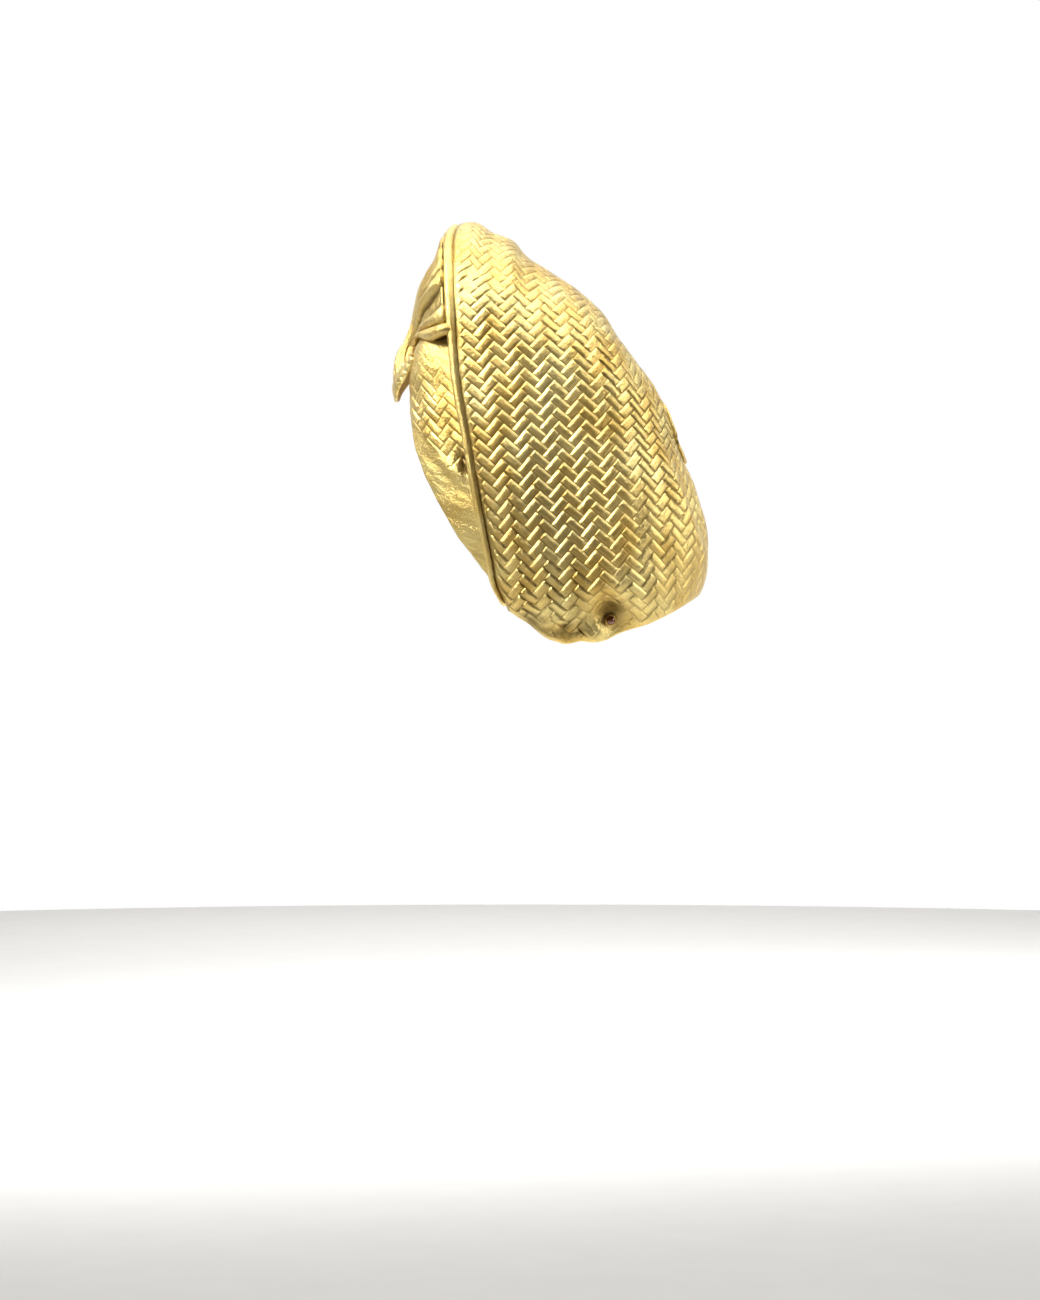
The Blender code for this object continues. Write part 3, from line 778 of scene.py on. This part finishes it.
def build_hood(plain, base, materials):
    """The wide back and sides, quilted all over, plain at its edges, with a seam down the back."""
    normals = held_normals(base)
    across, down = cloth_places(plain)
    column = level_places(plain, ARCH_DROP)
    level = np.interp(plain[..., 1], QUILT_ROW["y"], QUILT_ROW["z"]) - plain[..., 2]
    row = down - np.array([np.interp(0, level[:, j], down[:, j]) for j in range(down.shape[1])])

    from_back = across[:, -1:] - across
    from_edge = np.minimum(across, down[-1] - down)
    open_edge = np.arange(down.shape[0])[:, None] <= ROWS_ABOVE
    from_edge = np.where(open_edge, np.minimum(from_edge, from_back), from_edge)
    x, y, z = np.moveaxis(plain, -1, 0)
    reach = np.hypot(y - BUTTON_Y, z - BUTTON_Z)
    strength = 1 - fade(from_edge, *EDGE_PLAIN)
    for calm, where in (
        (BUTTON_CALM, fade(reach, *BUTTON_PLAIN)),
        (FRONT_HEM_CALM, bell(plain, *FRONT_HEM)),
        (LOW_BACK_CALM, np.interp(y, LOW_BACK_Y, (0, 1)) * np.interp(z, LOW_BACK_Z, (1, 0))),
        (TOP_CALM, np.interp(z, TOP_Z, (0, 1))),
    ):
        strength = strength * (1 - calm * where)

    seam = np.where(open_edge, 0, hump(from_back, 0, SEAM_WIDTH))
    heading = np.arctan2(z - BUTTON_Z, y - BUTTON_Y) - math.radians(PUCKER_HEADING)
    puckers = np.cos(2 * math.pi * reach / PUCKER_SPACING) * hump(reach, PUCKER_RING, PUCKER_REACH)
    puckers *= 0.5 + 0.5 * np.cos(heading)
    lift = QUILT_HEIGHT * strength * quilt_height(column, row) + uneven(across, row, HOOD_WAVES)
    lift += PUCKER_HEIGHT * puckers - SEAM_DEPTH * seam
    outer = square(base + normals * lift[..., None])
    inner = square(base - normals * HOOD_WALL)

    # Painted shade along the groove at the rim beside the piping, and in the hollow above the button
    in_hollow = np.hypot((y - HOLLOW_Y) / HOLLOW_HALF_SIZES[0], (z - HOLLOW_Z) / HOLLOW_HALF_SIZES[1])
    shade = RIM_SHADE * hump(across, 0, RIM_SHADE_WIDTH) + HOLLOW_SHADE * np.exp(-(in_hollow**3))
    # Painted shade in narrow dents
    shade += HOOD_DENT_SHADE * dent_depth(plain, DENTS, narrow_only=True)
    # A painted dark reflection over the middle of the side
    shade += PAINTED_PATCH_SHADE * bell(plain, *PAINTED_PATCH) * np.clip(x / PAINTED_PATCH_X, 0, 1)
    left, low, right, top = borders(outer)
    paths = left + low + right[:1], right[-ROWS_ABOVE:] + top[:1]
    flat = np.stack([column, row], axis=-1)
    mesh = wall("hood_cloth", outer, inner, flat, strength, paths, np.clip(shade, 0, 1))
    hood = finished(mesh, materials, mirrored=True)
    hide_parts("hood")
    return hood


def build_piping(material):
    """The corded edge in front of the rim, a little flat, puckered along its seam to the hood."""
    share = np.linspace(1, 0, PIPING_RINGS // 2 + 1)
    centre, radius, forward, outward = piping_line(share)
    centre[-1, 0] = forward[-1, 0] = outward[-1, 0] = 0
    centre, forward, outward = (
        np.concatenate([a, a[-2::-1] * FLIP])[:, None] for a in (centre, forward, outward)
    )
    radius, share = (np.concatenate([a, a[-2::-1]])[:, None] for a in (radius, share))
    run = lengths_along(centre[:, 0])[:, None]
    to_end = np.clip(np.minimum(run, run[-1] - run) / PIPING_END, 0, 1)
    radius = radius * np.sqrt(np.clip(1 - (1 - to_end) ** 2, 0.01, 1))
    turn = full_turn(PIPING_SIDES)[None]
    behind = np.clip(-np.cos(turn), 0, 1)
    swell = 1 - SEAM_PUCKER * behind * (1 + np.sin(2 * math.pi * run / SEAM_PUCKER_SPACING))
    swell += RIDGE_HEIGHT * (1 - fade(share, *RIDGED_PARTS)) * np.cos(RIDGES * turn)
    swell += uneven(run, turn, PIPING_WAVES)
    size = (radius * swell)[..., None]
    points = centre + size * np.cos(turn)[..., None] * forward
    points = points + PIPING_FLATNESS * size * np.sin(turn)[..., None] * outward
    mesh = smooth_mesh("rim_piping_roll", points, tube_faces(*points.shape[:2]))
    lay_flat(mesh, np.stack(np.broadcast_arrays(run, turn * PIPING_RADIUS), axis=-1))
    piping = finished(mesh, [material])
    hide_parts("rim_piping")


def fold_height(place, share, width):
    """Height of the folds at a place out from the middle (0 to 1) and a share of the length.

    Each fold is a rounded ridge, no higher than it is wide where the cloth gathers. A roll lies along
    the lower edge. The second answer is how much painted shade the valleys between the folds get.
    """
    height, nearest = np.zeros(np.broadcast(place, share).shape), 1.0
    for crest, top, wide in zip(*FOLDS.values()):
        away = (place - crest) / wide
        ridge = np.minimum(top, STEEPEST_FOLD * wide * width)
        height = np.maximum(height, ridge * np.clip(1 - away * away, 0, 1) ** FOLD_ROUNDNESS)
        nearest = np.minimum(nearest, np.abs(away))
    risen = 1 - fade(share, *FOLD_RISE)
    risen = risen * (FOLD_AT_BROW + (1 - FOLD_AT_BROW) * fade(share, *FOLD_CALM))
    from_roll = (share - (1 - HEM_ROLL_SHARE)) / HEM_ROLL_SHARE
    roll = HEM_ROLL * np.sqrt(np.clip(1 - from_roll**2, 0, 1))
    valley = np.clip((nearest - VALLEY_START) / (1 - VALLEY_START), 0, 1) ** 2
    return np.maximum(height * risen, roll), valley * risen


def between(middle, side, place):
    """Carries the middle's points out to the side's, with the powers that round it at the brow."""
    weight = place[..., None] ** BROW_POWERS
    return middle * (1 - weight) + side * weight


def drape_half(place, share):
    """Left half of the drape without its folds, from the middle (place 0) to its side edge (1)."""
    start = TUCK["share"][-1]
    run = np.clip((share - start) / (1 - start), 0, 1)
    middle = curve(FRONT, "y z", run)
    middle = np.concatenate([np.zeros_like(middle[..., :1]), middle], axis=-1)
    side = curve(ROLL, "x y z", run)
    brow = curve(BROW, "x y z", place)
    parts = np.linspace(0, 1, RIM_FINE)
    heights = surface(rim_share(parts), np.zeros_like(parts))[:, 2]
    reach = np.interp(-DRAPE_LOW, -heights, parts)
    edge, _, forward, outward = piping_line(reach * place)
    tucked = np.minimum(share, start)
    fore, out = (np.interp(tucked, TUCK["share"], TUCK[c])[..., None] for c in ("forward", "outward"))
    top = edge + forward * fore + outward * out
    rest = edge + forward * TUCK["forward"][-1] + outward * TUCK["outward"][-1]
    first_side, first_brow, last_brow = (
        curve(rows, "x y z", np.full((1, 1), at)) for rows, at in ((ROLL, 0.0), (BROW, 0.0), (BROW, 1.0))
    )
    peak = np.array([0.0, FRONT["y"][0], FRONT["z"][0]])
    pinch = (PINCH_SHARE - start) / (1 - start)
    points = between(middle, side, place)
    points = points + fade(run, 0, pinch)[..., None] * (rest - between(peak, first_side, place))
    points = points + fade(run, 1, pinch)[..., None] * (brow - between(first_brow, last_brow, place))
    return points + (top - rest)


def side_roll(flat, share, radius):
    """Cloth rolled up along the side edge: an arc round a line that lies just past the edge.

    The arc starts at the edge, climbs outwards, and turns down and under. A crease crosses it.
    """
    radius = radius * np.interp(share, ROLL_START_SHARES, (ROLL_START, 1.0))
    turn = np.radians(np.linspace(*ROLL_ARC, ROLL_COLUMNS + 1))[None, 1:]
    away = unit(flat[:, -1] - flat[:, -4])[:, None]
    outward = unit(normals_of(flat)[:, -2])[:, None]
    crease = hump(share[:, None], CREASE_SHARE + CREASE_LEAN * (turn - CREASE_TURN), CREASE_WIDTH)
    size = radius[:, None] * (1 - CREASE_DEPTH * crease * hump(turn, CREASE_TURN, 1))
    centre = flat[:, -1:] + (ROLL_AWAY * away + ROLL_OUT * outward) * radius[:, None, None]
    around = np.sin(turn)[..., None] * outward - np.cos(turn)[..., None] * away
    return centre + size[..., None] * around


def both_sides(half, flip=1):
    """A left half and its mirror image, joined at its first column, which lies on the middle plane."""
    return np.concatenate([half[:, :0:-1] * flip, half], axis=1)


def build_drape(materials):
    """The fan of folds under the peak, gathered at the pinch and rolled along its side edges."""
    share = np.linspace(0, 1, DRAPE_ROWS + 1)
    place, down_share = np.meshgrid(np.linspace(0, 1, DRAPE_COLUMNS + 1), share)
    plain = drape_half(place, down_share)
    width = lengths_along(plain.swapaxes(0, 1)).T[:, -1]
    radius, drop = (np.interp(share, SIDE_ROLL["share"], SIDE_ROLL[c]) for c in ("radius", "drop"))
    flat_share = 1 - ((1 + ROLL_AWAY) * radius - drop) / width
    half = drape_half(place * flat_share[:, None], down_share)
    half[:, 0, 0] = 0
    half = relaxed(both_sides(half, FLIP), DRAPE_ROUNDS)[:, DRAPE_COLUMNS:]
    half[:, 0, 0] = 0
    base = both_sides(np.concatenate([half, side_roll(half, share, radius)], axis=1), FLIP)
    normals = normals_of(base)
    across, down = cloth_places(base)
    across = across - across[:, base.shape[1] // 2, None]

    folds, valleys = fold_height(place, down_share, width[:, None])
    part_rolled = np.broadcast_to(np.linspace(0, 1, ROLL_COLUMNS), (len(share), ROLL_COLUMNS))
    # Painted shade where the roll leaves the fan and on its underside
    rolled_shade = ROLL_EDGE_SHADE * hump(part_rolled, 0, ROLL_EDGE) + ROLL_UNDER_SHADE * part_rolled**4
    height, thickness, shade = (
        both_sides(np.concatenate([on_fan, on_roll], axis=1))
        for on_fan, on_roll in (
            (folds, 0 * part_rolled),
            (np.full(folds.shape, DRAPE_WALL), np.full(part_rolled.shape, ROLL_WALL)),
            (VALLEY_SHADE * valleys, rolled_shade),
        )
    )
    # Painted shade in the fold valleys and along the top edge by the piping
    shade = np.maximum(shade, TOP_SHADE * fade(share, *TOP_SHARES)[:, None])
    lift = height + uneven(across, down, DRAPE_WAVES)
    hollowed = HOLLOW_DEPTH * fade(share, *HOLLOW_SHARES)[:, None]
    outer = base + normals * lift[..., None]
    inner = base + normals * (hollowed * height - thickness)[..., None]
    flat = np.stack([across, down], axis=-1)
    mesh = wall("front_drape_cloth", outer, inner, flat, DRAPE_QUILTING, (sum(borders(outer), []),), shade)
    drape = finished(mesh, materials)
    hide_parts("front_drape")
    return drape


def build_band(materials):
    """Both temples' band in one piece, crossing over the forehead under the drape."""
    along = np.linspace(0, 1, BAND_ROWS + 1)
    front = curve(BAND, "front_x front_y front_z", along)[:, None]
    back = curve(BAND, "back_x back_y back_z", along)[:, None]
    part = np.linspace(0, 1, BAND_COLUMNS + 1)[None, :, None]
    level = front * (1 - part) + back * part
    normals = normals_of(level)
    normals[0, :, 0] = 0
    arch = BAND_CROWN * (1 - along**2) + TEMPLE_SWELL * hump(along, TEMPLE_SHARE, TEMPLE_REACH)
    base = square(level + unit(normals) * (4 * part * (1 - part)) * arch[:, None, None])
    normals = held_normals(base)
    over, down = cloth_places(base)
    x, y, z = np.moveaxis(base, -1, 0)
    down = down - np.array([np.interp(-BAND_ROW, -z[:, j], down[:, j]) for j in range(down.shape[1])])
    places = level_places(base, 0.0)
    turn = math.radians(FOLD_TILT)
    above_fold = (y - FOLD_Y) * math.sin(turn) - (z - FOLD_Z) * math.cos(turn)
    strength = np.interp(-z, BAND_QUILTING["drop"], BAND_QUILTING["strength"])
    strength = strength * (1 - fade(above_fold, *FOLD_EDGE)) * (1 - fade(over, *BAND_EDGE))
    lift = BAND_QUILT_HEIGHT * strength * quilt_height(places, down) + uneven(over, down, BAND_WAVES)
    lift -= dent_depth(base, BAND_DENTS)
    outer = square(base + normals * lift[..., None])
    inner = square(base - normals * BAND_WALL)
    # Painted shadow under the side roll, painted shade in narrow dents, and painted shade growing low
    # towards the jaw
    shade = ROLL_SHADOW * hump(z, ROLL_SHADOW_Z, ROLL_SHADOW_REACH) * (x > ROLL_SHADOW_X)
    shade += BAND_DENT_SHADE * dent_depth(base, BAND_DENTS, narrow_only=True)
    shade += JAW_SHADE * fade(z, *JAW_Z)
    left, low, right, top = borders(outer)
    path = left + low + right + top[:1]
    flat = np.stack([places, down], axis=-1)
    mesh = wall("temple_band_cloth", outer, inner, flat, strength, (path,), np.clip(shade, 0, 1))
    band = finished(mesh, materials, mirrored=True)
    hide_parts("temple_band")
    return band


def turned_mesh(name, profile, placing, closed=False):
    """A turned shape: a profile of (radius, height) in millimetres swept round an axis, then placed."""
    radius, height = np.array(profile, float).T[..., None]
    turn = full_turn(BUTTON_SIDES)
    points = np.stack(np.broadcast_arrays(radius * np.cos(turn), radius * np.sin(turn), height), axis=-1)
    mesh = smooth_mesh(name, points, tube_faces(len(profile), BUTTON_SIDES, closed))
    mesh.transform(placing)
    return mesh


def build_buttons(base, dome_material, ring_material):
    """A polished dome in a thin metal ring, pulled into its dimple on each side."""
    reach = (base[..., 1] - BUTTON_Y) ** 2 + (base[..., 2] - BUTTON_Z) ** 2
    nearest = np.unravel_index(np.argmin(reach), reach.shape)
    seat, outward = base[nearest], normals_of(base)[nearest]
    arc = np.radians(np.linspace(90, 4, 14))
    dome = np.stack([DOME_RADIUS * np.cos(arc), DOME_FOOT + DOME_HEIGHT * np.sin(arc)], axis=-1)
    dome[0, 0] = SHANK[-1][0]
    around = full_turn(16)
    ring = [RING_RADIUS, RING_LIFT] + np.stack(
        [RING_HALF_WIDTH * np.cos(around), RING_HALF_HEIGHT * np.sin(around)], axis=-1
    )
    for side, flip in (("left", (1, 1, 1)), ("right", FLIP)):
        axis = Vector(outward * flip)
        place = Vector(seat * flip) + axis * BUTTON_LIFT
        placing = Matrix.Translation(place * MM) @ axis.to_track_quat("Z", "Y").to_matrix().to_4x4()
        top = turned_mesh(f"button_{side}_dome", [*SHANK[::-1], *dome[::-1]], placing)
        top = finished(top, [dome_material])
        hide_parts(f"button_{side}")
        finished(turned_mesh(f"button_{side}_ring", ring, placing, closed=True), [ring_material])


def colour(code):
    """A hex sRGB colour as linear red, green, blue and alpha."""
    parts = [int(code[i : i + 2], 16) / 255 for i in (0, 2, 4)]
    linear = [p / 12.92 if p <= 0.04045 else ((p + 0.055) / 1.055) ** 2.4 for p in parts]
    return (*linear, 1.0)


def feed(tree, made, inputs):
    """Sets or links a node's inputs, which are given by name or place, or in their own order."""
    for socket, value in inputs.items() if isinstance(inputs, dict) else enumerate(inputs):
        if isinstance(value, bpy.types.NodeSocket):
            tree.links.new(value, made.inputs[socket])
        else:
            made.inputs[socket].default_value = value


def node(tree, kind, inputs=(), **settings):
    """Adds a shader node with its settings and its inputs' values and links."""
    made = tree.nodes.new("ShaderNode" + kind)
    for name, value in settings.items():
        setattr(made, name, value)
    feed(tree, made, inputs)
    return made.outputs


def new_material(name):
    """A material with its tree of nodes and its shader."""
    made = bpy.data.materials.new(name)
    made.use_nodes = True
    return made, made.node_tree, made.node_tree.nodes["Principled BSDF"]


def per_metre(size):
    """Scale of a pattern whose features are so many millimetres across."""
    return 1 / (size * MM)


def herringbone(tree):
    """Distance from the nearest groove in bar widths, the bars' height, and the place across them.

    The steps are those of quilt_height, for a place on the flat cloth. A choice takes its second value
    where its first one is 0, and its third value where that is 1.
    """
    place = node(tree, "UVMap", uv_map="cloth")[0]
    size = per_metre(BAR_WIDTH * math.sqrt(2))
    scaled = node(tree, "VectorMath", (place, (size, size, 0)), operation="MULTIPLY")[0]
    parts = node(tree, "SeparateXYZ", (scaled,))
    at = {"u": parts[0], "v": parts[1]}
    for name, operation, *values in (
        ("p", "ADD", "u", "v"),
        ("q", "SUBTRACT", "v", "u"),
        ("whole_p", "FLOOR", "p"),
        ("whole_q", "FLOOR", "q"),
        ("part_p", "FRACT", "p"),
        ("part_q", "FRACT", "q"),
        ("step", "SUBTRACT", "whole_p", "whole_q"),
        ("kind", "FLOORED_MODULO", "step", 4.0),
        ("turned", "GREATER_THAN", "kind", 1.5),
        ("off", "SUBTRACT", "kind", 1.5),
        ("off", "ABSOLUTE", "off"),
        ("second", "LESS_THAN", "off", 0.6),
        ("along", "CHOICE", "turned", "part_p", "part_q"),
        ("along", "ADD", "along", "second"),
        ("across", "CHOICE", "turned", "part_q", "part_p"),
        ("long_rest", "SUBTRACT", 2.0, "along"),
        ("wide_rest", "SUBTRACT", 1.0, "across"),
        ("near_end", "MINIMUM", "along", "long_rest"),
        ("near_side", "MINIMUM", "across", "wide_rest"),
        ("nearest", "MINIMUM", "near_end", "near_side"),
    ):
        values = [at.get(value, value) for value in values]
        if operation == "CHOICE":
            at[name] = node(tree, "Mix", dict(zip((0, 2, 3), values)))[0]
        else:
            at[name] = node(tree, "Math", values, operation=operation)[0]
    rises = []
    for near, reach in (("near_end", END_RISE), ("near_side", SIDE_RISE)):
        fall = node(tree, "MapRange", (at[near], 0.0, reach, 1.0, 0.0))[0]
        fall = node(tree, "Math", (fall, QUILT_ROUNDNESS), operation="POWER")[0]
        rises.append(node(tree, "Math", (1.0, fall), operation="SUBTRACT")[0])
    height = node(tree, "Math", (rises[0], rises[1]), operation="MULTIPLY")[0]
    return at["nearest"], height, at["across"]


def gold_foil(name, quilted):
    """Foil jersey: metal with a fine leathery grain and paler clouds, darkened by painted shade where its
    mesh sets it, and when quilted, with painted shade in its grooves and on each bar's lower half and a
    painted highlight on its upper half.
    """
    deep, middle, pale, painted_shade_brown = (colour(code) for code in ("543B14", "CBA54E", "EBDB96", "402B09"))
    # Sizes of the patterns and heights of the bumps, in millimetres
    grain_size, crack_size, cloud_size, speck_size = 1.470588, 1.111111, 25.0, 0.416667
    grain_height, quilt_bump = 0.6, 0.9
    made, tree, shader = new_material(name)
    place = node(tree, "TexCoord")["Object"]
    cracks = {0: place, "Scale": per_metre(crack_size)}
    cracks = node(tree, "TexVoronoi", cracks, feature="DISTANCE_TO_EDGE")["Distance"]
    grain, clouds, specks = (
        node(tree, "TexNoise", {0: place, "Scale": per_metre(size), "Detail": detail, "Roughness": rough})[0]
        for size, detail, rough in ((grain_size, 3.0, 0.68), (cloud_size, 3.0, 0.5), (speck_size, 1.0, 0.5))
    )
    tone = node(tree, "MapRange", (clouds, 0.35, 0.68, 0.15, 0.75))[0]
    dark_speck = node(tree, "MapRange", (specks, 0.42, 0.30, 0.0, 0.5))[0]
    # Painted shade that each mesh sets for its points darkens the foil towards a shadow brown
    shade = node(tree, "Attribute", attribute_name="painted_shade")["Fac"]
    coats = [(tone, pale), (dark_speck, deep), (shade, painted_shade_brown)]
    height = node(tree, "Math", (cracks, 0.3, grain), operation="MULTIPLY_ADD")[0]
    bump = node(tree, "Bump", {"Strength": 1.0, "Distance": grain_height * MM, "Height": height})[0]
    if quilted:
        edge, rise, across = herringbone(tree)
        strength = node(tree, "Attribute", attribute_name="quilting")["Fac"]
        rise = node(tree, "Math", (rise, strength), operation="MULTIPLY")[0]
        raised = {"Strength": 1.0, "Distance": quilt_bump * MM, "Height": rise, "Normal": bump}
        bump = node(tree, "Bump", raised)[0]
        # Painted shade darkens the grooves and each bar's lower half, and a painted highlight lightens its
        # upper half
        for where, start, end, low, high, share, tint in (
            (edge, 0.10, 0.0, 0.0, 0.30, strength, deep),
            (across, 0.10, 0.36, 0.60, 0.0, rise, pale),
            (across, 0.30, 0.95, 0.0, 0.50, strength, deep),
        ):
            coat = node(tree, "MapRange", (where, start, end, low, high))[0]
            coats.append((node(tree, "Math", (coat, share), operation="MULTIPLY")[0], tint))
    base = middle
    for coat, tint in coats:
        base = node(tree, "Mix", {0: coat, 6: base, 7: tint}, data_type="RGBA")[2]
    rough = node(tree, "MapRange", (grain, 0.3, 0.7, 0.29, 0.40))[0]
    feed(tree, shader, {"Metallic": 1.0, "Base Color": base, "Roughness": rough, "Normal": bump})
    return made


def clouded(tree, size, detail, dark, light):
    """A colour that clouds of a size in millimetres vary between two hex colours, and the clouds."""
    place = node(tree, "TexCoord")["Object"]
    clouds = node(tree, "TexNoise", {0: place, "Scale": per_metre(size), "Detail": detail})[0]
    mixed = {0: clouds, 6: colour(dark), 7: colour(light)}
    return node(tree, "Mix", mixed, data_type="RGBA")[2], clouds


def knit_reverse():
    """Inner side of the jersey: a dull warm knit."""
    # The wave pattern has 20 / (2 pi) ribs to a unit of its scale, and the ribs are about 1 mm apart
    rib_spacing, rib_height = 0.981748, 0.2
    made, tree, shader = new_material("jersey_reverse")
    place = node(tree, "UVMap", uv_map="cloth")[0]
    scale = per_metre(rib_spacing) * 2 * math.pi / 20
    ribs = {0: place, "Scale": scale, "Distortion": 1.5, "Detail": 1.0, "Detail Scale": 2.0}
    ribs = node(tree, "TexWave", ribs)["Fac"]
    base = clouded(tree, 16.66667, 4.0, "B79556", "D9BF86")[0]
    bump = node(tree, "Bump", {"Strength": 0.7, "Distance": rib_height * MM, "Height": ribs})[0]
    feed(tree, shader, {"Metallic": 0.25, "Roughness": 0.72, "Base Color": base, "Normal": bump})
    return made


def amber_dome():
    """Polished dark amber with faint cloudy depth."""
    made, tree, shader = new_material("amber_dome")
    base = clouded(tree, 2.0, 2.0, "3A1C0B", "8A4A17")[0]
    feed(tree, shader, {"Metallic": 0.35, "Roughness": 0.16, "Base Color": base})
    feed(tree, shader, {"Coat Weight": 1.0, "Coat Roughness": 0.04})
    return made


def brass_ring():
    """Thin brass, brushed by wear."""
    made, tree, shader = new_material("brass_ring")
    base, wear = clouded(tree, 0.833333, 2.0, "A87A2C", "E9C66E")
    rough = node(tree, "MapRange", {0: wear, 3: 0.22, 4: 0.42})[0]
    feed(tree, shader, {"Metallic": 1.0, "Base Color": base, "Roughness": rough})
    return made


def area_light(name, place, aim, size, power, spread):
    """A soft rectangular light at a place, aimed at a point, in metres, with its spread in degrees."""
    lamp = bpy.data.lights.new(name, "AREA")
    lamp.shape = "RECTANGLE"
    lamp.spread = math.radians(spread)
    lamp.size, lamp.size_y = size
    lamp.energy = power
    made = placed(name, lamp)
    made.location = place
    made.rotation_mode = "QUATERNION"
    made.rotation_quaternion = (Vector(aim) - Vector(place)).to_track_quat("-Z", "Y")


def build_floor(level):
    """A round pale floor, 3.4 m across, at a level in metres."""
    radius, sides = 1.7, 96
    turn = full_turn(sides)
    points = np.stack([radius * np.cos(turn), radius * np.sin(turn), np.full(sides, level)], axis=-1)
    mesh = smooth_mesh("floor", points / MM, [list(range(sides))])
    made, tree, shader = new_material("pale_floor")
    base = clouded(tree, 33.33333, 3.0, "ECECEA", "F2F2F0")[0]
    feed(tree, shader, {"Roughness": 0.8, "Base Color": base})
    mesh.materials.append(made)
    placed("floor", mesh)


def build_room():
    """A softly lit room, darker in front of the object than behind it, with a plain pale backdrop."""
    bright, dark, backdrop = 1.05, 0.07, 1.02
    world = bpy.data.worlds.new("studio")
    world.use_nodes = True
    bpy.context.scene.world = world
    tree = world.node_tree
    heading = node(tree, "TexCoord")["Generated"]
    towards = node(tree, "SeparateXYZ", (heading,))[0]
    glow = (towards, -0.80, 0.10, bright, dark)
    glow = node(tree, "MapRange", glow, interpolation_type="SMOOTHSTEP")[0]
    seen = node(tree, "LightPath")["Is Camera Ray"]
    glow = node(tree, "Mix", {0: seen, 2: glow, 3: backdrop})[0]
    warmth = node(tree, "MapRange", (glow, 0.05, 0.60))[0]
    room = node(tree, "Mix", {0: warmth, 6: colour("C89A68"), 7: colour("FDFDFD")}, data_type="RGBA")[2]
    feed(tree, tree.nodes["Background"], {"Color": room, "Strength": glow})


def build_studio():
    """The floor, the room, the lights and the camera at the photograph's angle, in metres."""
    floor_level = -0.49
    build_floor(floor_level)
    build_room()
    aim = (0, 0, -0.07)
    for light in (
        ("key", (0.6, 0.5, 1.6), aim, (1.3, 0.35), 2.0, 32),
        ("front", (0.7, -1.5, 0.95), aim, (0.5, 0.8), 3.8, 36),
        ("side", (0.2, 1.6, 0.3), aim, (0.5, 1.0), 1.5, 40),
        ("top", (0.1, -0.3, 1.7), aim, (1.0, 1.0), 1.5, 60),
        ("wash", (-1.0, 0.0, 1.3), (-1.0, 0.0, floor_level), (1.4, 1.4), 10, 100),
        ("near wash", (1.1, 0.0, 1.2), (1.1, 0.0, floor_level), (0.9, 1.6), 2.0, 58),
    ):
        area_light(*light)

    distance, frame_height = 2.4, 0.845
    view = bpy.data.cameras.new("camera")
    view.sensor_fit = "VERTICAL"
    view.sensor_height = 24
    view.lens = view.sensor_height * distance / frame_height
    camera = placed("camera", view)
    camera.location = (distance, -0.013, -0.20735)
    camera.rotation_euler = (math.pi / 2, 0, math.pi / 2)
    scene = bpy.context.scene
    scene.camera = camera
    scene.view_settings.view_transform = "Standard"


def main():
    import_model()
    cloth_finishes = [gold_foil("gold_foil_jersey", True), knit_reverse()]
    plain, base = hood_half()
    hood = build_hood(plain, base, cloth_finishes)
    build_piping(gold_foil("gold_foil_binding", False))
    drape = build_drape(cloth_finishes)
    band = build_band(cloth_finishes)
    build_buttons(base, amber_dome(), brass_ring())
    build_studio()


main()
